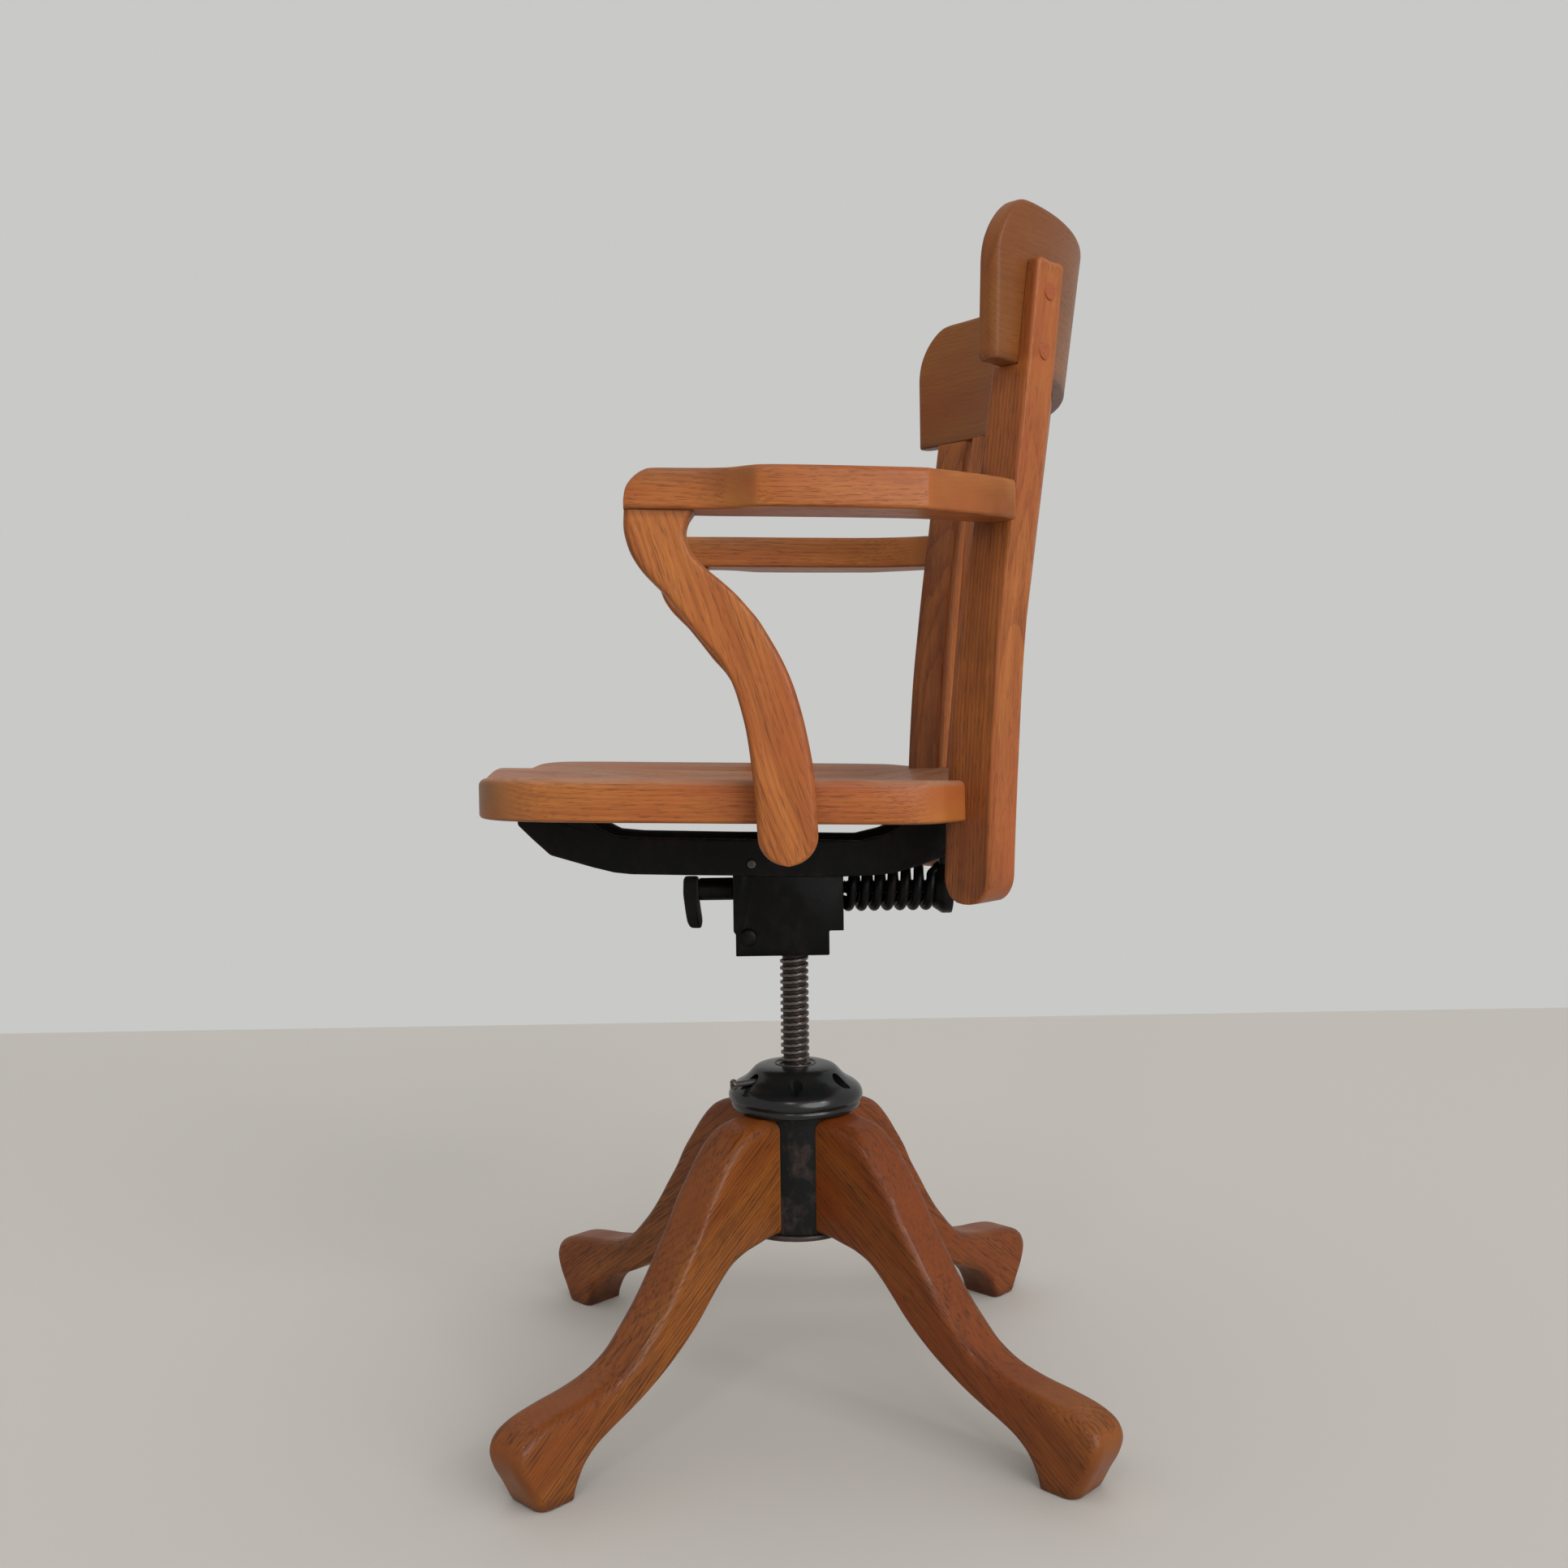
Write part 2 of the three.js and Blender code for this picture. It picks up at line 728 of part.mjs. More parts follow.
// The saddle's form, in shares of the seat's half width.
const dishRimShare = 0.07;
const sideSlopeShare = 0.36;
const rearSlopeShare = 0.43;
const frontSlopeShare = 0.9;
const ridgeWidthShare = 0.24;
const ridgeStartShare = 0.15;
const ridgeEndShare = 0.95;
const frontDishShare = 0.35; // of the dish's full depth, left at the front edge

// How deep the saddle is at a point, with a ridge that rises towards the front edge.
function saddle(x, y) {
  const wide = (share) => share * seatHalfWidth;
  const fromFront = y - seatFront;
  const fromSide = seatHalfWidth - Math.abs(x) - wide(dishRimShare);
  const fromRear = seatRear - seatRearBow * (x / seatHalfWidth) ** 2 - y - wide(dishRimShare);
  const sides = smooth(fromSide, 0, wide(sideSlopeShare));
  const rear = smooth(fromRear, 0, wide(rearSlopeShare));
  const front = lerp(frontDishShare, 1, smooth(fromFront, 0, wide(frontSlopeShare)));
  const ridgeAcross = Math.exp(-((x / wide(ridgeWidthShare)) ** 2));
  const ridgeAlong = 1 - smooth(fromFront, wide(ridgeStartShare), wide(ridgeEndShare));
  return seatDish * sides * rear * front * (1 - ridgeAcross * ridgeAlong);
}

// Shares of the way from the seat's middle to its rim, for the rings of the top.
const seatRingShares = [0.92, 0.83, 0.72, 0.58, 0.42, 0.24, 0.05];
const edgeEaseShare = 0.3; // where the edge's round is half turned, of its radius

function seatBoard(tools) {
  const rim = seatRim();
  const centre = new THREE.Vector3(0, lerp(seatFront, seatRear, 0.5), 0);
  const ringAt = (share, height) =>
    rim.map((p) => {
      const q = centre.clone().lerp(p, share);
      return new THREE.Vector3(q.x, q.y, seatFloor(q.y) + height(q.x, q.y));
    });
  const ease = edgeEaseShare * seatEdgeRound;
  const flatShare = 1 - seatEdgeRound / seatHalfWidth;
  const turnShare = 1 - ease / seatHalfWidth;
  const top = (x, y) => seatThickness - saddle(x, y);
  const rings = [
    ringAt(seatRingShares.at(-1), () => 0),
    ringAt(flatShare, () => 0),
    ringAt(turnShare, () => ease),
    ringAt(1, () => seatEdgeRound),
    ringAt(1, (x, y) => top(x, y) - seatEdgeRound),
    ringAt(turnShare, (x, y) => top(x, y) - ease),
    ringAt(flatShare, top),
    ...seatRingShares.map((share) => ringAt(share, top)),
  ];
  return cut(loft(rings), tools);
}

// Shares of the iron's length and depth, down from the seat: lower edge, then the upper edge back.
const ironLowerShares = [
  [0, 0],
  [0.017, 0.26],
  [0.048, 0.48],
  [0.075, 0.67],
  [0.103, 0.755],
  [0.137, 0.84],
  [0.171, 0.905],
  [0.205, 0.955],
  [0.275, 1],
  [0.38, 1.005],
  [0.73, 0.945],
  [0.83, 0.87],
  [0.905, 0.7],
  [0.955, 0.5],
  [0.99, 0.2],
  [1, 0],
];
const ironUpperShares = [
  [0.87, 0],
  [0.83, 0.18],
  [0.785, 0.35],
  [0.73, 0.45],
  [0.45, 0.445],
  [0.25, 0.43],
  [0.2, 0.4],
  [0.165, 0.27],
  [0.128, 0],
];

// Where the front and rear lugs start and end, as shares of the iron's length.
const ironFootShares = [
  [0.006, 0.128],
  [0.87, 0.994],
];

function seatIron() {
  const length = ironRear - ironFront;
  const place = ([y, z]) => {
    const at = ironFront + y * length;
    return [at, seatFloor(at) - fit - z * ironDepth];
  };
  const inner = ironSpread - ironThickness / 2;
  const web = sidePlate([...ironLowerShares, ...ironUpperShares].map(place), inner, inner + ironThickness);
  const feet = ironFootShares.map(([a, b]) => ironFoot(ironFront + a * length, ironFront + b * length, inner));
  const hole = alongX(0, castingWidth, pivotY, pivotHeight, pivotRadius + fit);
  return union([web, ...feet]).subtract(hole);
}

// A flat lug under the seat, turned out from the web.
function ironFoot(y0, y1, inner) {
  const under = (y, down) => seatFloor(y) - fit - down;
  const outline = [
    [y0, under(y0, 0)],
    [y0, under(y0, ironFootThickness)],
    [y1, under(y1, ironFootThickness)],
    [y1, under(y1, 0)],
  ];
  return sidePlate(outline, inner, inner + ironFootWidth);
}

// The bar's lower and upper edge, as shares of the irons' depth.
const [barFootShare, barTopShare] = [0.68, 0.46];

// The cup that takes the spring's push, hung from a bar between the irons.
function springCup() {
  const rim = cupThickness / 3;
  const disc = lathe([
    [tensionRodRadius + fit, 0],
    [cupRadius - rim, 0],
    [cupRadius, cupThickness / 2],
    [cupRadius, cupThickness],
    [tensionRodRadius + fit, cupThickness],
  ], wheelSides)
    .rotate([-90, 0, 0])
    .translate([0, cupY, tensionAxis]);
  const barHalf = ironSpread - ironThickness / 2 - fit;
  const [barFront, barRear] = [cupY + rim, cupY + cupThickness - fit];
  const barFoot = seatFloor(cupY) - barFootShare * ironDepth;
  const barTop = seatFloor(cupY) - barTopShare * ironDepth;
  const neck = cut(
    box(-cupRadius / 2, cupRadius / 2, barFront, barRear, tensionAxis, barTop),
    [alongY(0, 2 * cupY, 0, tensionAxis, tensionRodRadius + fit)],
  );
  const bar = box(-barHalf, barHalf, barFront, barRear, barFoot, barTop);
  const wireHole = alongY(
    cupY - fit,
    cupY + 2 * wireRadius + turnGap,
    coilRadius * Math.cos(springEndAngle()),
    tensionAxis + coilRadius * Math.sin(springEndAngle()),
    wireRadius + turnGap,
    holeSides,
  );
  return union([disc, neck, bar]).subtract(wireHole);
}

function springEndAngle() {
  const last = springPoints().at(-1);
  return Math.atan2(last.z - tensionAxis, last.x);
}

// Shares of a post's height, of its spread outwards, of its lean back and of its thickness.
const postShares = [
  [0, 0, 0, 1],
  [0.08, 0.058, 0.025, 1],
  [0.225, 0.247, 0.088, 1],
  [0.365, 0.435, 0.177, 0.98],
  [0.465, 0.56, 0.278, 0.96],
  [0.56, 0.673, 0.404, 0.945],
  [0.66, 0.785, 0.556, 0.92],
  [0.76, 0.865, 0.697, 0.89],
  [0.86, 0.933, 0.836, 0.855],
  [0.95, 0.978, 0.944, 0.83],
  [1, 1, 1, 0.82],
];
const postStations = 14;
const postFootSteps = 4;
const footNarrowShare = 0.39; // how much of its thickness a post loses on each face at the foot

// The corners of a post's section: front-outer, front-inner, rear-inner and rear-outer.
function postCorners(share, narrowing) {
  const [spread, lean, thick] = [1, 2, 3].map((k) =>
    along(postShares.map((row) => [row[0], row[k]]), share),
  );
  const outer = new THREE.Vector3(
    postX + spread * postSpread,
    postY + lean * postLean,
    lerp(postFoot, postTop, share),
  );
  const across = new THREE.Vector3(-Math.cos(postAngle), Math.sin(postAngle), 0);
  const through = new THREE.Vector3(-Math.sin(postAngle), -Math.cos(postAngle), 0);
  const depth = thick * postThickness;
  const shrink = narrowing * depth;
  const at = (a, t) => outer.clone().addScaledVector(across, a).addScaledVector(through, t);
  return [at(0, shrink), at(0, depth - shrink), at(postWidth, depth - shrink), at(postWidth, shrink)];
}

// A post, or the same form wider by a gap for the pieces that are cut round it.
function postBody(gap = 0) {
  const lead = postFootRound / (postTop - postFoot);
  const footShares = Array.from({ length: postFootSteps }, (_, i) => (i / postFootSteps) * lead);
  const bodyShares = Array.from({ length: postStations + 1 }, (_, i) => lerp(lead, 1, i / postStations));
  const rings = [...footShares, ...bodyShares].map((share) => {
    const below = 1 - Math.min(1, share / lead);
    const corners = postCorners(share, footNarrowShare * (1 - Math.sqrt(1 - below ** 2)));
    const wide = gap ? widened(corners, gap) : corners;
    return roundedRing(wide, wide.map(() => postRound));
  });
  return loft(rings);
}

const crestStations = 32;
const endCrowdingShare = 0.6; // how far the stations crowd towards the ends
const crestRoomSpanShare = 1.3; // of the crest's own span

// A sector of the leaning ring between two radii, as high as its corner rounding lets it be.
function crestRing(innerRadius, outerRadius, span, foot, top, corner, round) {
  const rings = [];
  for (let i = 0; i <= crestStations; i++) {
    const even = (2 * i) / crestStations - 1;
    const angle = span * lerp(even, Math.sin((even * Math.PI) / 2), endCrowdingShare);
    const fromEnd = (span - Math.abs(angle)) * outerRadius;
    const inside = corner > 0 ? Math.max(0, 1 - fromEnd / corner) : 0;
    const drop = corner * (1 - Math.sqrt(Math.max(0, 1 - inside ** 2)));
    const at = (radius, z) => {
      const centre = crestCentre + (crestLean * (z - crestBottom)) / crestHeight;
      return new THREE.Vector3(radius * Math.sin(angle), centre + radius * Math.cos(angle), z);
    };
    const high = top - drop;
    const corners = [
      at(innerRadius, foot),
      at(outerRadius, foot),
      at(outerRadius, high),
      at(innerRadius, high),
    ];
    rings.push(round ? roundedRing(corners, corners.map(() => round)) : corners);
  }
  return loft(rings);
}

function crestRail(tools) {
  const body = crestRing(
    crestRadius - crestThickness,
    crestRadius,
    crestSpan,
    crestBottom,
    crestBottom + crestHeight,
    crestCornerRound,
    crestRound,
  );
  return cut(body, tools);
}

// The room that the crest takes from a post, open towards the front and the top.
const crestRoom = () =>
  crestRing(
    crestRadius - 3 * crestThickness,
    crestRadius + fit,
    crestSpan * crestRoomSpanShare,
    crestBottom - fit,
    crestBottom + 2 * crestHeight,
    0,
    0,
  );

// One slat from its tenon in the seat to its tenon in the crest, or the same wider by a gap.
function slat(index, gap = 0) {
  const angle = (index - (slatCount - 1) / 2) * slatPitch;
  const headRadius = crestRadius - crestThickness / 2;
  const footAngle = angle * slatFootSpread;
  const headZ = crestBottom + tenon;
  const headShift = (crestLean * tenon) / crestHeight;
  const head = new THREE.Vector3(
    headRadius * Math.sin(angle),
    crestCentre + headShift + headRadius * Math.cos(angle),
    headZ,
  );
  const footCentre = slatFootY - slatFootRadius;
  const footY = footCentre + slatFootRadius * Math.cos(footAngle);
  const foot = new THREE.Vector3(
    slatFootRadius * Math.sin(footAngle),
    footY,
    seatFloor(footY) + seatThickness - tenon,
  );
  const reach = new THREE.Vector3().subVectors(head, foot).normalize();
  foot.addScaledVector(reach, -gap);
  head.addScaledVector(reach, gap);
  const section = (centre, turn) => {
    const across = new THREE.Vector3(Math.cos(turn), -Math.sin(turn), 0);
    const through = new THREE.Vector3(Math.sin(turn), Math.cos(turn), 0);
    const corner = (a, t) =>
      centre
        .clone()
        .addScaledVector(across, (a * slatWidth) / 2)
        .addScaledVector(through, (t * slatThickness) / 2);
    const corners = [corner(-1, -1), corner(1, -1), corner(1, 1), corner(-1, 1)];
    if (gap) return widened(corners, gap);
    return roundedRing(corners, corners.map(() => slatRound));
  };
  return loft([section(foot, footAngle), section(head, angle)]);
}

const armFloor = (y) => armUnderside - armRise * y;

// Shares of the arm's length and swell: length, outer edge, inner edge, and the height's share.
const armShares = [
  [0, 0.6, 0.11, 0.3],
  [0.004, 0.612, 0.095, 0.5],
  [0.013, 0.623, 0.085, 0.66],
  [0.03, 0.632, 0.075, 0.83],
  [0.053, 0.641, 0.062, 0.96],
  [0.077, 0.648, 0.05, 1],
  [0.154, 0.662, 0.023, 1],
  [0.231, 0.708, 0, 1],
  [0.288, 0.83, 0, 1],
  [0.344, 0.954, 0, 1],
  [0.421, 1, 0, 1],
  [0.555, 0.962, -0.01, 1],
  [0.689, 0.908, -0.035, 1],
  [0.789, 0.8, -0.1, 1],
  [0.873, 0.58, -0.22, 1],
  [0.94, 0.28, -0.36, 1],
  [0.985, 0.02, -0.45, 1],
];
const armSlantShare = 0.05; // of the length, between the inner and the outer edge at the end
const armSlantStartShare = 0.75;
const armStations = 24;

function armBody(tools) {
  const rings = stations(armShares, armStations).map(([share, outer, inner, high]) => {
    const y = supportFront + share * armLength;
    const slant = smooth(share, armSlantStartShare, 1) * armSlantShare * armLength;
    const [x0, x1] = [armInner + inner * armSwell, armInner + outer * armSwell];
    const [innerY, outerY] = [y - slant / 2, y + slant / 2];
    const corner = (x, at, lift) => new THREE.Vector3(x, at, armFloor(at) + lift * armThickness);
    const corners = [
      corner(x0, innerY, 0),
      corner(x1, outerY, 0),
      corner(x1, outerY, high),
      corner(x0, innerY, high),
    ];
    const under = memberRound / 2;
    return roundedRing(corners, [under, under, memberRound, memberRound]);
  });
  return cut(loft(rings), tools);
}

// Shares of the support's reach and height: front edge's y and z, rear edge's y and z.
const supportShares = [
  [0, 1, 0.368, 1],
  [-0.003, 0.955, 0.33, 0.967],
  [0.007, 0.92, 0.323, 0.93],
  [0.035, 0.877, 0.354, 0.885],
  [0.083, 0.836, 0.417, 0.845],
  [0.146, 0.8, 0.507, 0.805],
  [0.208, 0.767, 0.583, 0.768],
  [0.257, 0.735, 0.646, 0.73],
  [0.309, 0.7, 0.697, 0.697],
  [0.389, 0.645, 0.757, 0.645],
  [0.479, 0.59, 0.819, 0.585],
  [0.549, 0.525, 0.875, 0.515],
  [0.59, 0.46, 0.917, 0.44],
  [0.625, 0.38, 0.951, 0.36],
  [0.649, 0.285, 0.979, 0.27],
  [0.667, 0.18, 0.993, 0.17],
  [0.677, 0.0866, 1, 0.0866],
];
const supportStations = 22;
const supportFootSteps = 5;
const supportFootTurn = 1.4; // radians that the foot's round turns through on each side

function armSupport() {
  const height = armUnderside - supportFoot;
  const inner = seatHalfWidth + fit;
  const section = (y0, z0, y1, z1) => {
    const corners = [
      new THREE.Vector3(inner, y0, z0),
      new THREE.Vector3(inner + supportThickness, y0, z0),
      new THREE.Vector3(inner + supportThickness, y1, z1),
      new THREE.Vector3(inner, y1, z1),
    ];
    return roundedRing(corners, corners.map(() => memberRound));
  };
  const rows = stations(supportShares, supportStations).map(([y0, z0, y1, z1]) => {
    const [front, rear] = [supportFront + y0 * supportReach, supportFront + y1 * supportReach];
    const lift = (y, z) => supportFoot + z * (armFloor(y) - fit - supportFoot);
    return [front, lift(front, z0), rear, lift(rear, z1)];
  });
  const [front, z0, rear, z1] = rows.at(-1);
  const radius = (rear - front) / 2;
  const [middle, level] = [(front + rear) / 2, (z0 + z1) / 2];
  const foot = Array.from({ length: supportFootSteps }, (_, i) => {
    const angle = ((i + 1) / supportFootSteps) * supportFootTurn;
    const [y, z] = [radius * Math.cos(angle), level - radius * Math.sin(angle)];
    return [middle - y, z, middle + y, z];
  });
  return loft([...rows, ...foot].map((row) => section(...row)));
}

function group(name, meshes) {
  const made = new THREE.Group();
  made.name = name;
  made.add(...meshes);
  return made;
}

const legNames = ["leg_rear_left", "leg_rear_right", "leg_front_right", "leg_front_left"];
const base = group("base", [
  ...legNames.map((name, i) => meshOf(name, leg(i), "oakDark")),
  meshOf("hub_column", hubColumn(), "castIron"),
  meshOf("hub_bottom_plate", hubPlate(), "iron"),
]);

const collarGroup = group("collar", [
  meshOf("thrust_washer", thrustWasher(), "steel"),
  meshOf("height_collar", collar(), "castIron"),
  meshOf("lock_screw", lockScrew(), "steel"),
]);

const spindleGroup = group("spindle", [
  meshOf("height_screw", spindle(), "steel"),
  meshOf("tilt_casting", tiltCasting(), "iron"),
  meshOf("pivot_rod", pivotRod(), "steel"),
  meshOf("casting_rivet", socketRivet(), "iron"),
]);

const tension = group("tension", [
  meshOf("tension_screw", tensionScrew(), "iron"),
  meshOf("tension_handle", tensionHandle(), "iron"),
]);

const postRoom = postBody(fit);
const postRooms = [postRoom, mirrored(postRoom)];
const slatIndexes = Array.from({ length: slatCount }, (_, i) => i);
const slatRooms = slatIndexes.map((i) => slat(i, fit));
const post = cut(postBody(), [crestRoom()]);
const arm = armBody([postRoom]);
const support = armSupport();
const iron = seatIron();

const seat = group("seat", [
  meshOf("seat_board", seatBoard([...postRooms, ...slatRooms]), "oakPale"),
  meshOf("seat_iron_left", iron, "iron"),
  meshOf("seat_iron_right", mirrored(iron), "iron"),
  meshOf("spring_cup", springCup(), "iron"),
  meshOf("tilt_spring", tiltSpring(), "iron"),
  meshOf("arm_support_left", support, "oak"),
  meshOf("arm_support_right", mirrored(support), "oak"),
  meshOf("arm_left", arm, "oak"),
  meshOf("arm_right", mirrored(arm), "oak"),
  meshOf("back_post_left", post, "oak"),
  meshOf("back_post_right", mirrored(post), "oak"),
  meshOf("crest_rail", crestRail(slatRooms), "oak"),
  ...slatIndexes.map((i) => meshOf("back_slat_" + (i + 1), slat(i), "oakPale")),
]);

console.log("least gap between the spring's turns: " + springGap().toFixed(2) + " mm");

const chair = group("bankers_swivel_chair", [base, collarGroup, spindleGroup, seat, tension]);
export default chair;
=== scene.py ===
"""Dresses an oak swivel armchair: sawn oak members, black ironwork and a worn steel screw.

Everything is in metres in the part's own frame: the origin is on the floor at the screw's axis,
+Z is up and the sitter faces -Y.
"""

import logging
import math
from dataclasses import dataclass, field
from enum import Enum
from typing import Callable, Optional, Sequence, Union

import bmesh
import bpy
from mathutils import Matrix, Quaternion, Vector


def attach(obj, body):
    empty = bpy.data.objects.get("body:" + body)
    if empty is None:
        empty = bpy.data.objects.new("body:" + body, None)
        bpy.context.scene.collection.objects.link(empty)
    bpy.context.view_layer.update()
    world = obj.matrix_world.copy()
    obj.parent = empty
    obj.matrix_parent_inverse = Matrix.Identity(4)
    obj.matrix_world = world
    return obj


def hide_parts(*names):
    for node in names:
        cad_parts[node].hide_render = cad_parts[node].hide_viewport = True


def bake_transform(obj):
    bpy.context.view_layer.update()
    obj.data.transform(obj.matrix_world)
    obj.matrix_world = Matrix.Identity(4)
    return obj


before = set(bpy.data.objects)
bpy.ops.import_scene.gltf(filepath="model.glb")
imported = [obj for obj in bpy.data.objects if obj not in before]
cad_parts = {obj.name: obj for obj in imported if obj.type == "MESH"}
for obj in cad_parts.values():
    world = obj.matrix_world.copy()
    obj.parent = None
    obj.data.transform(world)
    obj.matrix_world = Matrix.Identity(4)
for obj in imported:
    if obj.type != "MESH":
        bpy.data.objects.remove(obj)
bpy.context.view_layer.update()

LOG = logging.getLogger("swivel_armchair")
SHARP = math.radians(38)  # a sharper edge breaks the smooth shading
FULL_TURN = 1.2  # radians from which a corner of an outline counts as a full edge
ALONG_X = Matrix.Rotation(math.pi / 2, 4, "Y")
ALONG_Y = Matrix.Rotation(-math.pi / 2, 4, "X")
SEAT_UNDERSIDE = 0.5326
SEAT_RISE = 0.0205
SEAT_THICKNESS = 0.0345

Outline = Sequence[tuple[float, float]]
Rows = Sequence[tuple[float, float, float, float]]
Colour = tuple[float, float, float]
Number = Union[int, float]
Piece = bpy.types.Object
Mesh = bpy.types.Mesh
Material = bpy.types.Material
Socket = bpy.types.NodeSocket


class Body(Enum):
    """The bodies that pieces ride on."""

    BASE = "base"
    COLLAR = "collar"
    SPINDLE = "spindle"
    SEAT = "seat"
    TENSION = "tension"


class Slot(Enum):
    """The record's material slots."""

    OAK_BASE = "oak_base"
    OAK_FRAME = "oak_frame"
    OAK_SEAT = "oak_seat"
    CAST_IRON = "cast_iron"
    BLACK_IRON = "black_iron"
    WORN_STEEL = "worn_steel"


# Curves and sections.


def lerp(a: float, b: float, share: float) -> float:
    """The value that lies a share of the way from a to b."""
    return a + (b - a) * share


def smooth(value: float, low: float, high: float) -> float:
    """A soft step from 0 at low to 1 at high."""
    t = min(1.0, max(0.0, (value - low) / (high - low)))
    return t * t * (3 - 2 * t)


def hermite(rows: Sequence[Sequence[float]], column: int, at: float) -> float:
    """Reads a given table smoothly.

    Args:
        rows: rows whose first number is the position.
        column: the column that is read.
        at: the position.

    Returns:
        The column's value at that position.
    """
    i = 0
    while i < len(rows) - 2 and at > rows[i + 1][0]:
        i += 1

    def slope(k: int) -> float:
        """The curve's slope at row k."""
        p, q = rows[max(k - 1, 0)], rows[min(k + 1, len(rows) - 1)]
        return (q[column] - p[column]) / (q[0] - p[0])

    a, b = rows[i], rows[i + 1]
    span = b[0] - a[0]
    t = min(1.0, max(0.0, (at - a[0]) / span))
    return (
        (2 * t**3 - 3 * t**2 + 1) * a[column]
        + (t**3 - 2 * t**2 + t) * span * slope(i)
        + (3 * t**2 - 2 * t**3) * b[column]
        + (t**3 - t**2) * span * slope(i + 1)
    )


def stations(rows: Sequence[Sequence[float]], count: int) -> list[list[float]]:
    """Spreads stations evenly over given rows, smoothed through each row.

    Args:
        rows: the given rows.
        count: the number of steps.

    Returns:
        count + 1 rows of numbers.
    """
    numbered = [(float(i), *row) for i, row in enumerate(rows)]
    last = len(rows) - 1
    return [
        [hermite(numbered, k + 1, last * i / count) for k in range(len(rows[0]))]
        for i in range(count + 1)
    ]


@dataclass
class Ring:
    """One closed section of a skin: its points, and how near each is to an edge, from 0 to 1."""

    points: list[Vector]
    edge: list[float]

    def centre(self) -> Vector:
        """The mean of the points."""
        return sum(self.points, Vector()) / len(self.points)

    def moved(self, shift: Vector, inset: float, edge: float) -> "Ring":
        """The same ring, shifted and drawn in towards its centre by a length."""
        middle = self.centre()
        points = []
        for p in self.points:
            out = p - middle
            points.append(middle + shift + out * max(0.05, 1 - inset / max(out.length, 1e-9)))
        return Ring(points, [max(edge, e) for e in self.edge])


def rounded(corners: Sequence[Vector], radii: Sequence[float], steps: int = 5) -> Ring:
    """A convex section with each corner turned by its own radius.

    Args:
        corners: the section's sharp corners in order.
        radii: the radius of each corner.
        steps: the steps on each corner.

    Returns:
        The ring, with two extra points on each flat side so that it shades flat.
    """
    count = len(corners)
    arcs: list[list[Vector]] = []
    for i, corner in enumerate(corners):
        before = corners[i - 1] - corner
        after = corners[(i + 1) % count] - corner
        radius = min(radii[i], 0.49 * before.length, 0.49 * after.length)
        start = corner + before.normalized() * radius
        end = corner + after.normalized() * radius
        weight = math.sqrt(max(0.0, (1 - before.normalized().dot(after.normalized())) / 2))
        arc = []
        for k in range(steps + 1):
            t = k / steps
            a, b, c = (1 - t) ** 2, 2 * weight * t * (1 - t), t**2
            arc.append((start * a + corner * b + end * c) / (a + b + c))
        arcs.append(arc)
    ring = Ring([], [])
    for i, arc in enumerate(arcs):
        ring.points += arc
        ring.edge += [math.sin(math.pi * k / steps) for k in range(steps + 1)]
        following = arcs[(i + 1) % count][0]
        for share in (0.07, 0.5, 0.93):
            ring.points.append(arc[-1].lerp(following, share))
            ring.edge.append(0.0)
    return ring


def filleted(
    outline: Outline, radius: float, steps: int = 4, closed: bool = True
) -> list[tuple[float, float, float]]:
    """Rounds the corners of a flat outline.

    Args:
        outline: the corners in order.
        radius: the radius of every corner, less where two corners are near.
        steps: the steps on each corner.
        closed: whether the last point joins the first.

    Returns:
        Points with a third number: how near each is to a corner, from 0 to 1.
    """
    corners = [Vector((a, b, 0)) for a, b in outline]
    made: list[tuple[float, float, float]] = []
    for i, corner in enumerate(corners):
        if not closed and i in (0, len(corners) - 1):
            made.append((corner.x, corner.y, 0.0))
            continue
        before, after = corners[i - 1] - corner, corners[(i + 1) % len(corners)] - corner
        reach = min(radius, 0.45 * before.length, 0.45 * after.length)
        if reach < 1e-7:
            made.append((corner.x, corner.y, 0.0))
            continue
        start = corner + before.normalized() * reach
        end = corner + after.normalized() * reach
        sharp = min(1.0, (-before).angle(after) / FULL_TURN) ** 2
        for k in range(steps + 1):
            t = k / steps
            p = start * (1 - t) ** 2 + corner * 2 * t * (1 - t) + end * t**2
            made.append((p.x, p.y, sharp * math.sin(math.pi * t)))
    return made


@dataclass(frozen=True)
class Board:
    """How a piece is sawn from its board.

    Attributes:
        along: the direction of the grain.
        up: the direction across the grain that faces the bark.
        seed: picks the place in the log.
        tone: how much darker or redder than its fellows, from -1 to 1.
    """

    along: Vector
    up: Vector
    seed: int
    tone: float = 0.0

    def grain(self, point: Vector) -> Vector:
        """Where a point of the piece lies in its log, in metres."""
        x = self.along.normalized()
        y = x.cross(self.up).normalized()
        z = x.cross(y)
        s = self.seed
        shift = Vector((0.731 * s, 0.02 * math.sin(3.1 * s), 0.09 + 0.02 * math.cos(5.7 * s)))
        return Vector((point.dot(x), point.dot(y), point.dot(z))) + shift


def stored(mesh: Mesh, name: str, values: Sequence[float]) -> None:
    """Keeps one number for each vertex."""
    mesh.attributes.new(name, "FLOAT", "POINT").data.foreach_set("value", values)


def stored_vectors(mesh: Mesh, name: str, values: Sequence[Vector]) -> None:
    """Keeps one vector for each vertex."""
    flat = [c for v in values for c in v]
    mesh.attributes.new(name, "FLOAT_VECTOR", "POINT").data.foreach_set("vector", flat)


def plain_edges(piece: Piece) -> None:
    """Marks a piece as having no rubbed edges."""
    stored(piece.data, "edge", [0.0] * len(piece.data.vertices))


def moved_to(x: float, y: float, z: float) -> Matrix:
    """A move without a turn."""
    return Matrix.Translation(Vector((x, y, z)))


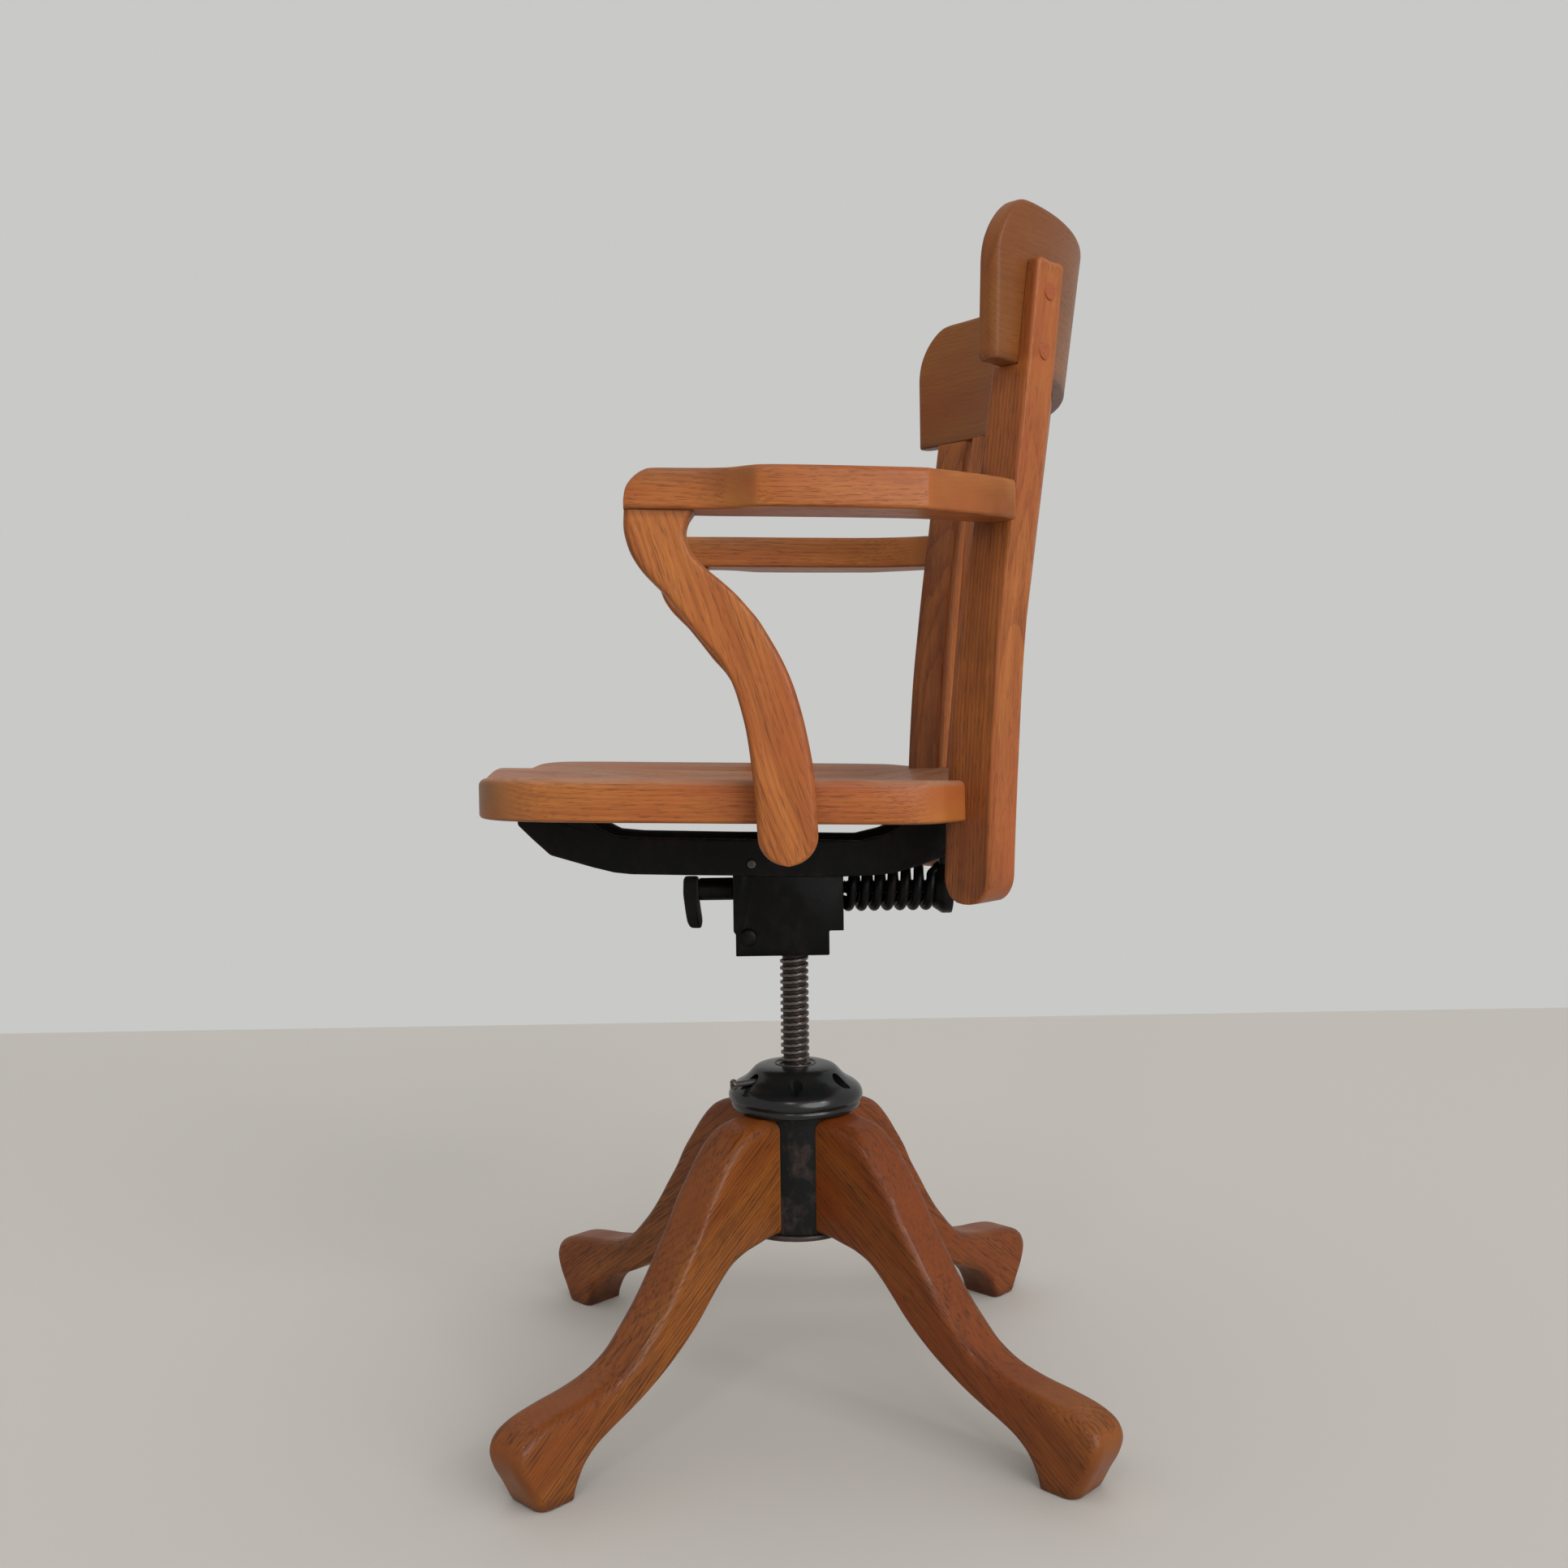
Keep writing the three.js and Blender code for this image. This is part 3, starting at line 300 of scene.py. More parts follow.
def rubbed(piece: Piece, amount: Callable[[Vector], float]) -> Piece:
    """Keeps how far the varnish is rubbed at each vertex, from 0 to 1; on the seat's top this is partly a
    painted sheen.
    """
    stored(piece.data, "worn", [min(1.0, max(0.0, amount(v.co))) for v in piece.data.vertices])
    return piece


def grimed_and_shaded(piece: Piece, amount: Callable[[Vector, Vector], float]) -> Piece:
    """Keeps how dark each vertex is made, from 0 to 1, worked out from its place and normal: old dirt, and
    painted shade where the light falls less.
    """
    vertices = piece.data.vertices
    stored(piece.data, "grime_and_shade", [min(1.0, max(0.0, amount(v.co, v.normal))) for v in vertices])
    return piece


def shown(name: str, mesh: Mesh) -> Piece:
    """Puts a mesh in the scene as an object."""
    piece = bpy.data.objects.new(name, mesh)
    bpy.context.scene.collection.objects.link(piece)
    return piece


def shade(mesh: Mesh, angle: float = SHARP) -> None:
    """Smooth shading, broken at edges sharper than the angle."""
    mesh.shade_smooth()
    mesh.set_sharp_from_angle(angle=angle)


def skin(
    name: str,
    rings: Sequence[Ring],
    board: Optional[Board] = None,
    follow: Optional[Callable[[int, Vector], Vector]] = None,
    loop: bool = False,
) -> Piece:
    """A closed skin over rings.

    Args:
        name: the piece's name.
        rings: the rings in order, all with as many points.
        board: how the piece is sawn, for a piece of wood.
        follow: the place in the log from ring and point, for bent wood.
        loop: whether the last ring joins the first, with no end faces.

    Returns:
        The new object.
    """
    count = len(rings[0].points)
    points = [p for ring in rings for p in ring.points]
    faces: list[list[int]] = []
    for i in range(len(rings) if loop else len(rings) - 1):
        a, b = i * count, ((i + 1) % len(rings)) * count
        for k in range(count):
            n = (k + 1) % count
            faces.append([a + k, a + n, b + n, b + k])
    if not loop:
        last = (len(rings) - 1) * count
        faces.append(list(range(count))[::-1])
        faces.append([last + k for k in range(count)])
    mesh = bpy.data.meshes.new(name)
    mesh.from_pydata(points, [], faces)
    stored(mesh, "edge", [e for ring in rings for e in ring.edge])
    if follow is not None:
        stored_vectors(mesh, "grain", [follow(i, p) for i, ring in enumerate(rings) for p in ring.points])
    elif board is not None:
        stored_vectors(mesh, "grain", [board.grain(p) for p in points])
    stored(mesh, "tone", [board.tone if board else 0.0] * len(points))
    outward(mesh)
    shade(mesh)
    if board is not None and follow is None:
        along = board.along.normalized()
        stored(mesh, "endgrain", [smooth(abs(v.normal.dot(along)), 0.15, 0.55) for v in mesh.vertices])
    return shown(name, mesh)


def outward(mesh: Mesh) -> None:
    """Turns the faces of a closed mesh outwards."""
    work = bmesh.new()
    work.from_mesh(mesh)
    bmesh.ops.triangulate(work, faces=[f for f in work.faces if len(f.verts) > 4])
    bmesh.ops.recalc_face_normals(work, faces=work.faces)
    if work.calc_volume(signed=True) < 0:
        bmesh.ops.reverse_faces(work, faces=work.faces)
    work.to_mesh(mesh)
    work.free()


def round_ends(rings: Sequence[Ring], radius: float, steps: int = 3) -> list[Ring]:
    """Turns both ends of a run of rings by a small radius.

    Args:
        rings: the rings, flat at both ends.
        radius: the radius of the turn.
        steps: the steps of the turn.

    Returns:
        The rings with the ends turned, no longer than before.
    """

    def turned_end(end: Ring, inner: Ring) -> list[Ring]:
        """The end's own rings, from the outermost inwards."""
        way = (inner.centre() - end.centre()).normalized()
        made = []
        for k in range(steps + 1):
            angle = (1 - k / steps) * math.pi / 2
            shift = way * radius * (1 - math.sin(angle))
            made.append(end.moved(shift, radius * (1 - math.cos(angle)), math.sin(angle * 2)))
        return made

    first = turned_end(rings[0], rings[1])
    last = turned_end(rings[-1], rings[-2])
    return [*first, *rings[1:-1], *reversed(last)]


def turned(
    name: str, profile: Outline, fillet: float, place: Matrix, sides: int = 72, soft: float = 0.004
) -> Piece:
    """A turned piece.

    Args:
        name: the piece's name.
        profile: [radius, height] corners, from one end to the other.
        fillet: the radius of its corners.
        place: turns its axis from +Z and moves it.
        sides: the number of sides.
        soft: the longest face along the profile.

    Returns:
        The new object.
    """
    outline = filleted(profile, fillet, 3, closed=False)
    rows: list[tuple[float, float, float]] = [outline[0]]
    for a, b in zip(outline, outline[1:]):
        length = math.hypot(b[0] - a[0], b[1] - a[1])
        if length > soft:
            inner = min(0.15, 0.0008 / length)
            rows += [(lerp(a[0], b[0], s), lerp(a[1], b[1], s), 0.0) for s in (inner, 1 - inner)]
        rows.append(b)
    hollow = profile[0][0] > 0 and profile[0] == profile[-1]
    if hollow:
        rows.pop()
    points: list[Vector] = []
    edge: list[float] = []
    starts: list[tuple[int, int]] = []
    for r, z, e in rows:
        wide = sides if r > 1e-7 else 1
        starts.append((len(points), wide))
        for k in range(wide):
            angle = 2 * math.pi * k / sides
            points.append(place @ Vector((r * math.cos(angle), r * math.sin(angle), z)))
            edge.append(e)
    faces: list[list[int]] = []
    for i in range(len(starts) if hollow else len(starts) - 1):
        (a, na), (b, nb) = starts[i], starts[(i + 1) % len(starts)]
        for k in range(sides):
            n = (k + 1) % sides
            if na > 1 and nb > 1:
                faces.append([a + k, a + n, b + n, b + k])
            elif na > 1:
                faces.append([a + k, a + n, b])
            elif nb > 1:
                faces.append([a, b + n, b + k])
    mesh = bpy.data.meshes.new(name)
    mesh.from_pydata(points, [], faces)
    stored(mesh, "edge", edge)
    outward(mesh)
    shade(mesh)
    return shown(name, mesh)


def tube(inner: float, outer: float, low: float, high: float) -> Outline:
    """The closed outline of a plain ring, for turning."""
    return [(inner, low), (outer, low), (outer, high), (inner, high), (inner, low)]


def dowel(radius: float, low: float, high: float) -> Outline:
    """The outline of a plain pin, for turning."""
    return [(0, low), (radius, low), (radius, high), (0, high)]


def drill(radius: float, low: float, high: float, place: Matrix) -> Piece:
    """A round tool for cutting a hole along its place's Z axis."""
    return turned("drill", dowel(radius, low, high), 0.0, place, sides=40)


def slab(name: str, outline: Outline, x0: float, x1: float, corner: float, edge: float) -> Piece:
    """A plate with a side outline and rounded rims.

    Args:
        name: the piece's name.
        outline: [y, z] corners in order.
        x0: the X of one face.
        x1: the X of the other.
        corner: the radius of the outline's corners.
        edge: the radius of the rims.

    Returns:
        The new object.
    """
    points = [Vector((0, y, z)) for y, z, _ in filleted(outline, corner)]
    following = [*points[1:], points[0]]
    area = sum(p.y * q.z - q.y * p.z for p, q in zip(points, following))
    turn = 1 if area > 0 else -1
    ways = [(q - points[i - 1]).normalized() for i, q in enumerate(following)]
    inward = [Vector((0, -way.z * turn, way.y * turn)) for way in ways]
    steps = ((2.6, 0.0, 0.0), (1.0, 0.0, 0.4), (0.3, 0.3, 1.0), (0.0, 1.0, 0.4), (0.0, 2.2, 0.0))
    levels = [(x0 + depth * edge, inset, near) for inset, depth, near in steps]
    levels += [(x1 - depth * edge, inset, near) for inset, depth, near in reversed(steps)]
    rings = []
    for x, inset, near in levels:
        section = [p + Vector((x, 0, 0)) + way * inset * edge for p, way in zip(points, inward)]
        rings.append(Ring(section, [near] * len(points)))
    return skin(name, rings)


def softened(name: str, node: str, width: float, pierced: Optional[float] = None) -> Piece:
    """A copy of a solid with its sharp edges rounded.

    Args:
        name: the piece's name.
        node: the solid's node.
        width: the width of the rounding.
        pierced: the Y of a wall with a hole in it, whose face stays in triangles.

    Returns:
        The new object.
    """
    work = bmesh.new()
    work.from_mesh(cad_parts[node].data)
    bmesh.ops.remove_doubles(work, verts=work.verts, dist=1e-6)
    verts = [vert for vert in work.verts if pierced is None or abs(vert.co.y - pierced) > 1e-4]
    off_wall = set(verts)
    edges = [edge for edge in work.edges if not off_wall.isdisjoint(edge.verts)]
    bmesh.ops.dissolve_limit(work, angle_limit=math.radians(1), verts=verts, edges=edges)
    mesh = bpy.data.meshes.new(name)
    work.to_mesh(mesh)
    work.free()
    piece = shown(name, mesh)
    bevel = piece.modifiers.new("round", "BEVEL")
    bevel.width = width
    bevel.segments = 2
    bevel.limit_method = "ANGLE"
    bevel.angle_limit = math.radians(30)
    bevel.use_clamp_overlap = False
    flat = piece.modifiers.new("flat", "WEIGHTED_NORMAL")
    flat.keep_sharp = True
    flat.weight = 100
    settle(piece)
    plain_edges(piece)
    return piece


def settle(piece: Piece) -> None:
    """Turns a piece's modifiers into plain mesh."""
    graph = bpy.context.evaluated_depsgraph_get()
    made = bpy.data.meshes.new_from_object(piece.evaluated_get(graph))
    piece.modifiers.clear()
    piece.data = made
    shade(made)


def joined(name: str, pieces: Sequence[Piece]) -> Piece:
    """Joins pieces into one object of that name."""
    work = bmesh.new()
    for piece in pieces:
        work.from_mesh(piece.data)
    mesh = bpy.data.meshes.new(name)
    work.to_mesh(mesh)
    work.free()
    for piece in pieces:
        bpy.data.objects.remove(piece)
    shade(mesh)
    return shown(name, mesh)


def dress(piece: Piece, material: Material, body: Body, slot: Slot, *nodes: str) -> None:
    """Gives a finished piece its material and body, and hides the solids that it stands for.

    Args:
        piece: the finished piece.
        material: its material.
        body: the body that it rides on.
        slot: not used.
        *nodes: the solids that it stands for.
    """
    piece.data.materials.clear()
    piece.data.materials.append(material)
    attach(piece, body.value)
    if nodes:
        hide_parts(*nodes)
    LOG.info("%s rides on %s", piece.name, body.value)


# Shader and geometry trees.


class Value:
    """A socket that takes part in sums: each operator adds a Math node."""

    def __init__(self, tree: "ShaderTree", socket: Socket) -> None:
        """Wraps a socket of a tree."""
        self.tree = tree
        self.socket = socket

    def sum(self, operation: str, *others: "Operand", clamp: bool = False) -> "Value":
        """Adds one Math node that starts from this value."""
        values = {i: v for i, v in enumerate((self, *others))}
        return self.tree.node("Math", {"operation": operation, "use_clamp": clamp}, values)

    def __add__(self, other: "Operand") -> "Value":
        """self + other."""
        return self.sum("ADD", other)

    def __sub__(self, other: "Operand") -> "Value":
        """self - other."""
        return self.sum("SUBTRACT", other)

    def __rsub__(self, other: Number) -> "Value":
        """other - self."""
        return self.tree.node("Math", {"operation": "SUBTRACT"}, {0: other, 1: self})

    def __mul__(self, other: "Operand") -> "Value":
        """self * other."""
        return self.sum("MULTIPLY", other)

    def __truediv__(self, other: "Operand") -> "Value":
        """self / other."""
        return self.sum("DIVIDE", other)

    def __rtruediv__(self, other: Number) -> "Value":
        """other / self."""
        return self.tree.node("Math", {"operation": "DIVIDE"}, {0: other, 1: self})

    __radd__ = __add__
    __rmul__ = __mul__

    def fraction(self) -> "Value":
        """What is left over whole numbers."""
        return self.sum("FRACT")

    def floor(self) -> "Value":
        """The whole number below."""
        return self.sum("FLOOR")

    def root(self) -> "Value":
        """The square root."""
        return self.sum("SQRT")

    def clamped(self) -> "Value":
        """Held between 0 and 1."""
        return self.sum("ADD", 0.0, clamp=True)

    def step(self, low: float, high: float) -> "Value":
        """A soft step from 0 at low to 1 at high."""
        settings = {"interpolation_type": "SMOOTHSTEP"}
        return self.tree.node("MapRange", settings, {"Value": self, "From Min": low, "From Max": high})


Operand = Union[Value, Number]


class Tree:
    """A node tree, with one way to add any node."""

    def __init__(self, tree: bpy.types.NodeTree, prefix: str) -> None:
        """Wraps an empty tree whose node types share a prefix."""
        self.tree = tree
        self.prefix = prefix

    def add(self, kind: str, settings: dict, values: dict) -> bpy.types.Node:
        """Adds a node.

        Args:
            kind: its type's name without the prefix.
            settings: properties that are set first.
            values: numbers, colours or sockets for its inputs, by name or place.

        Returns:
            The node.
        """
        made = self.tree.nodes.new(self.prefix + kind)
        for key, value in settings.items():
            setattr(made, key, value)
        for key, value in values.items():
            source = value.socket if isinstance(value, Value) else value
            if isinstance(source, Socket):
                self.tree.links.new(source, made.inputs[key])
            else:
                made.inputs[key].default_value = source
        return made


class ShaderTree(Tree):
    """The nodes of a material or a world."""

    def __init__(self, owner: Union[Material, bpy.types.World]) -> None:
        """Empties the owner's nodes."""
        owner.use_nodes = True
        owner.node_tree.nodes.clear()
        super().__init__(owner.node_tree, "ShaderNode")
        self.owner = owner

    def node(self, kind: str, settings: dict, values: dict, output: Union[int, str] = 0) -> Value:
        """Adds a node and wraps one of its outputs, or its first input if it has none."""
        made = self.add(kind, settings, values)
        return Value(self, made.outputs[output] if made.outputs else made.inputs[0])

    def attribute(self, name: str, output: str = "Fac") -> Value:
        """Reads an attribute of the mesh."""
        return self.node("Attribute", {"attribute_name": name}, {}, output)

    def scaled(self, vector: Value, factors: Sequence[float]) -> Value:
        """A vector times a factor for each axis."""
        return self.node("VectorMath", {"operation": "MULTIPLY"}, {0: vector, 1: tuple(factors)})

    def added(self, a: Value, b: Union[Value, Sequence[float]]) -> Value:
        """The sum of two vectors."""
        return self.node("VectorMath", {"operation": "ADD"}, {0: a, 1: b})

    def parts(self, vector: Value) -> list[Value]:
        """A vector's three numbers."""
        return [Value(self, output) for output in self.add("SeparateXYZ", {}, {0: vector}).outputs]

    def vector(self, x: Operand, y: Operand, z: Operand) -> Value:
        """A vector from three numbers."""
        return self.node("CombineXYZ", {}, {0: x, 1: y, 2: z})

    def noise(self, place: Value, scale: float, detail: float = 2.0, rough: float = 0.5) -> Value:
        """Soft noise from 0 to 1."""
        values = {"Vector": place, "Scale": scale, "Detail": detail, "Roughness": rough}
        return self.node("TexNoise", {}, values)

    def mixed(self, share: Operand, a: Union[Value, Colour], b: Union[Value, Colour]) -> Value:
        """Two colours mixed by a share."""
        values = {0: share}
        for key, colour in ((6, a), (7, b)):
            values[key] = colour if isinstance(colour, Value) else (*colour, 1.0)
        return self.node("Mix", {"data_type": "RGBA"}, values, 2)

    def bump(self, height: Value, distance: float, strength: float) -> Value:
        """A normal that follows a height."""
        return self.node("Bump", {}, {"Height": height, "Distance": distance, "Strength": strength})

    def finish(self, values: dict) -> Material:
        """Adds the surface shader with these inputs, and returns the finished material."""
        self.node("OutputMaterial", {}, {"Surface": self.node("BsdfPrincipled", {}, values)})
        return self.owner


@dataclass(frozen=True)
class Oak:
    """Varnished oak.

    Attributes:
        name: the material's name.
        pale: the wood between the rings.
        dark: the dense part of a ring.
        red: what the varnish has turned red.
        pore: the filled pores.
        grime_and_shade: old dirt in the varnish, and painted shade in hollows, under parts and on faces
            turned from the light.
        grey: bare wood where the varnish is rubbed off, and on the seat's top a painted sheen.
        rough: the varnish's roughness.
        coat: how much clear varnish lies on top.
        gloss: the clear varnish's own roughness.
        board: the width of the boards that it is glued from, or 0 for one board.
        worn: how far patches have paled.
        lines: the strength of the long dark lines.
        flecks: the strength of the short dark flecks.
        pores: how fine the flecks are across the grain.
        figure: how strongly light and dark wood differ.
        shine: how strongly the varnish reflects.
    """

    name: str
    pale: Colour = (0.445, 0.147, 0.033)
    dark: Colour = (0.215, 0.053, 0.010)
    red: Colour = (0.325, 0.078, 0.020)
    grey: Colour = (0.34, 0.215, 0.145)
    pore: Colour = (0.095, 0.028, 0.010)
    grime_and_shade: Colour = (0.060, 0.020, 0.008)
    rough: float = 0.42
    coat: float = 0.12
    gloss: float = 0.2
    board: float = 0.0
    worn: float = 0.15
    lines: float = 0.2
    flecks: float = 0.4
    pores: float = 1000.0
    figure: float = 1.0
    shine: float = 0.2

    def made(self) -> Material:
        """Builds the material."""
        t = ShaderTree(bpy.data.materials.new(self.name))
        grain = t.attribute("grain", "Vector")
        edge = t.attribute("edge")
        tone = t.attribute("tone")
        sawn = 1 - t.attribute("endgrain") * 0.85
        if self.board:
            across = t.parts(t.node("TexCoord", {}, {}, "Object"))[0]
            index = (across / self.board + 0.5).floor()
            grain = t.added(grain, t.vector(index * 0.613, index * 0.017, index * 0.011))
            tone = tone + (index * 1.7).sum("SINE") * 0.35
            away = ((across / self.board).fraction() - 0.5).sum("ABSOLUTE")
            seam = 1 - away.step(0.0, 0.005)
        warp = t.noise(t.scaled(grain, (4, 14, 14)), 1.0, 2.0) - 0.5
        ripple = t.noise(t.scaled(grain, (14, 50, 50)), 1.0, 2.0) - 0.5
        x, y, z = t.parts(grain)
        out = (y * y + z * z).root() + x * 0.02 + warp * 0.020 + ripple * 0.0025
        early = 1 - (out * 270.0).fraction().step(0.02, 0.62)
        band = t.noise(t.scaled(grain, (3.5, 60, 60)), 1.0, 2.0) - 0.5
        fibre = t.noise(t.scaled(grain, (34, 1150, 1150)), 1.0, 3.0, 0.6) - 0.5
        line = t.noise(t.scaled(grain, (17, 470, 470)), 1.0, 2.0).step(0.48, 0.70) * sawn
        streak = t.noise(t.scaled(grain, (72, self.pores, self.pores)), 1.0, 1.0)
        where = t.noise(t.scaled(grain, (10, 36, 36)), 1.0, 2.0) - 0.5
        flecks = (streak + early * 0.05 + where * 0.3).step(0.59, 0.70) * sawn
        mottle = t.noise(t.scaled(grain, (4.5, 15, 15)), 1.0, 3.0, 0.55)
        cloud = t.noise(t.scaled(grain, (11, 11, 11)), 1.0, 3.0, 0.6)
        depth = ((early * 0.28 + fibre * 1.0 + band * 1.5) * sawn * self.figure + 0.36).clamped()
        colour = t.mixed(depth, self.pale, self.dark)
        colour = t.mixed((mottle.step(0.38, 0.62) * 0.7 + tone * 0.6).clamped(), colour, self.red)
        colour = t.mixed(line * self.lines, colour, tuple(c * 0.55 for c in self.dark))
        colour = t.mixed(flecks * self.flecks, colour, self.pore)
        shadow = (edge * (0.15 + cloud.step(0.35, 0.65) * 0.35)).clamped()
        colour = t.mixed(shadow, colour, t.mixed(0.5, colour, self.pore))
        if self.board:
            colour = t.mixed(seam * 0.6, colour, self.pore)
        colour = t.mixed(cloud.step(0.60, 0.8) * self.worn, colour, self.pale)
        # Greys rubbed places: wear on the arms, and on the seat's top partly a painted sheen.
        wear_and_sheen = (t.attribute("worn") * (0.35 + cloud.step(0.3, 0.62) * 0.65)).clamped()
        colour = t.mixed(wear_and_sheen * 0.8, colour, t.mixed(depth * 0.6, self.grey, self.dark))
        # Darkens towards a dark brown: old dirt, and painted shade in hollows, under parts and on faces
        # turned from the light.
        grime_and_shade_share = (t.attribute("grime_and_shade") * (0.45 + cloud.step(0.34, 0.6) * 0.4 + (depth - 0.4) * 0.4)).clamped()
        colour = t.mixed(grime_and_shade_share, colour, self.grime_and_shade)
        rough = self.rough + (cloud - 0.5) * 0.22 + flecks * 0.12 + wear_and_sheen * 0.12
        ripples = t.noise(t.scaled(grain, (55, 85, 85)), 1.0, 2.0)
        height = fibre * 0.3 - flecks * 0.8 - line * 0.3 + cloud * 2.0 + ripples * 1.1
        normal = t.bump(height, 0.00025, 0.65)
        return t.finish(
            {
                "Base Color": colour,
                "Roughness": rough,
                "Specular IOR Level": self.shine,
                "Coat Weight": self.coat,
                "Coat Roughness": self.gloss,
                "Normal": normal,
            }
        )


@dataclass(frozen=True)
class Enamel:
    """Black paint or enamel on iron.

    Attributes:
        name: the material's name.
        colour: the paint.
        bare: what shows where it is rubbed.
        rough: its roughness.
        shine: how strongly it reflects.
        rub: how far the edges are rubbed.
        scuffs: how far the faces are scuffed.
    """

    name: str
    colour: Colour = (0.0012, 0.0012, 0.0013)
    bare: Colour = (0.045, 0.032, 0.027)
    rough: float = 0.42
    shine: float = 0.14
    rub: float = 0.4
    scuffs: float = 0.12

    def made(self) -> Material:
        """Builds the material."""
        t = ShaderTree(bpy.data.materials.new(self.name))
        place = t.node("TexCoord", {}, {}, "Object")
        edge = t.attribute("edge")
        grit = t.noise(place, 420.0, 4.0, 0.6)
        patch = t.noise(place, 38.0, 4.0, 0.65)
        scuff = t.noise(t.scaled(place, (110, 110, 70)), 1.0, 3.0, 0.6)
        wear = edge * (patch + scuff).step(0.85, 1.2) * self.rub
        rubbed = (wear + (patch * 0.6 + scuff * 0.4).step(0.46, 0.64) * self.scuffs).clamped()
        colour = t.mixed(rubbed, self.colour, self.bare)
        colour = t.mixed(grit.step(0.55, 0.8) * 0.25, colour, (0.012, 0.0115, 0.011))
        rough = self.rough + (patch - 0.5) * 0.3 + rubbed * 0.1
        normal = t.bump(grit + patch * 2, 0.00018, 0.5)
        return t.finish(
            {
                "Base Color": colour,
                "Metallic": rubbed * 0.3,
                "Roughness": rough,
                "Specular IOR Level": self.shine,
                "Normal": normal,
            }
        )


@dataclass(frozen=True)
class Steel:
    """Dark, oiled steel whose high places are rubbed light and whose low places are stained, with a painted
    highlight on the high places and painted shade in the low ones.

    Attributes:
        name: the material's name.
        stain_and_shade: the stained low places, darkened further as painted shade.
        wear_and_highlight: the rubbed high places, lightened further as a painted highlight.
        rough: its roughness.
    """

    name: str
    stain_and_shade: Colour = (0.016, 0.010, 0.008)
    wear_and_highlight: Colour = (0.165, 0.140, 0.128)
    rough: float = 0.31

    def made(self) -> Material:
        """Builds the material."""
        t = ShaderTree(bpy.data.materials.new(self.name))
        place = t.node("TexCoord", {}, {}, "Object")
        edge = t.attribute("edge")
        stain = t.noise(place, 90.0, 4.0, 0.6)
        fine = t.noise(t.scaled(place, (500, 500, 1400)), 1.0, 2.0)
        # Lightens crests and fillets and darkens the low places: partly wear and stain, partly a painted
        # highlight and painted shade.
        high = (edge * (0.55 + stain * 0.6)).clamped()
        colour = t.mixed(high, self.stain_and_shade, self.wear_and_highlight)
        colour = t.mixed(stain.step(0.5, 0.75) * 0.5, colour, (0.045, 0.022, 0.014))
        rough = self.rough + (1 - high) * 0.18 + (fine - 0.5) * 0.15
        return t.finish(
            {
                "Base Color": colour,
                "Metallic": 0.45 + high * 0.5,
                "Roughness": rough,
                "Normal": t.bump(fine + stain, 0.00008, 0.4),
            }
        )


@dataclass
class Finishes:
    """The materials, built once."""

    base_oak: Material = field(
        default_factory=Oak(
            "leg oak",
            pale=(0.27, 0.086, 0.014),
            dark=(0.115, 0.032, 0.006),
            red=(0.165, 0.034, 0.005),
            pore=(0.034, 0.011, 0.005),
            grime_and_shade=(0.022, 0.010, 0.007),
            rough=0.47,
            coat=0.12,
            gloss=0.1,
            worn=0.1,
            lines=0.65,
            flecks=0.55,
            pores=900.0,
        ).made
    )
    frame_oak: Material = field(default_factory=Oak("frame oak").made)
    arm_oak: Material = field(
        default_factory=Oak(
            "arm oak", pale=(0.50, 0.188, 0.042), dark=(0.25, 0.070, 0.013), grey=(0.19, 0.095, 0.048)
        ).made
    )
    crest_oak: Material = field(
        default_factory=Oak(
            "crest oak",
            pale=(0.28, 0.098, 0.021),
            dark=(0.155, 0.047, 0.010),
            red=(0.22, 0.058, 0.012),
            grime_and_shade=(0.085, 0.034, 0.014),
            lines=0.06,
            flecks=0.08,
            worn=0.25,
            figure=0.5,
        ).made
    )
    seat_oak: Material = field(
        default_factory=Oak(
            "seat oak", pale=(0.46, 0.160, 0.036), grime_and_shade=(0.10, 0.070, 0.038), board=0.107, worn=0.3
        ).made
    )
    paint: Material = field(default_factory=Enamel("black paint").made)
    enamel: Material = field(
        default_factory=Enamel(
            "collar enamel",
            colour=(0.0070, 0.0084, 0.0088),
            rough=0.2,
            shine=0.45,
            rub=0.25,
            scuffs=0.02,
        ).made
    )
    column: Material = field(
        default_factory=Enamel(
            "column enamel",
            colour=(0.0050, 0.0062, 0.0060),
            bare=(0.044, 0.029, 0.026),
            rough=0.36,
            scuffs=0.9,
        ).made
    )
    plate: Material = field(
        default_factory=Enamel(
            "worn plate",
            colour=(0.034, 0.023, 0.021),
            bare=(0.13, 0.090, 0.080),
            rough=0.36,
            shine=0.4,
            rub=1.0,
        ).made
    )
    steel: Material = field(default_factory=Steel("oiled steel").made)
    pin: Material = field(
        default_factory=Steel("pin steel", stain_and_shade=(0.060, 0.052, 0.047), wear_and_highlight=(0.27, 0.25, 0.225)).made
    )


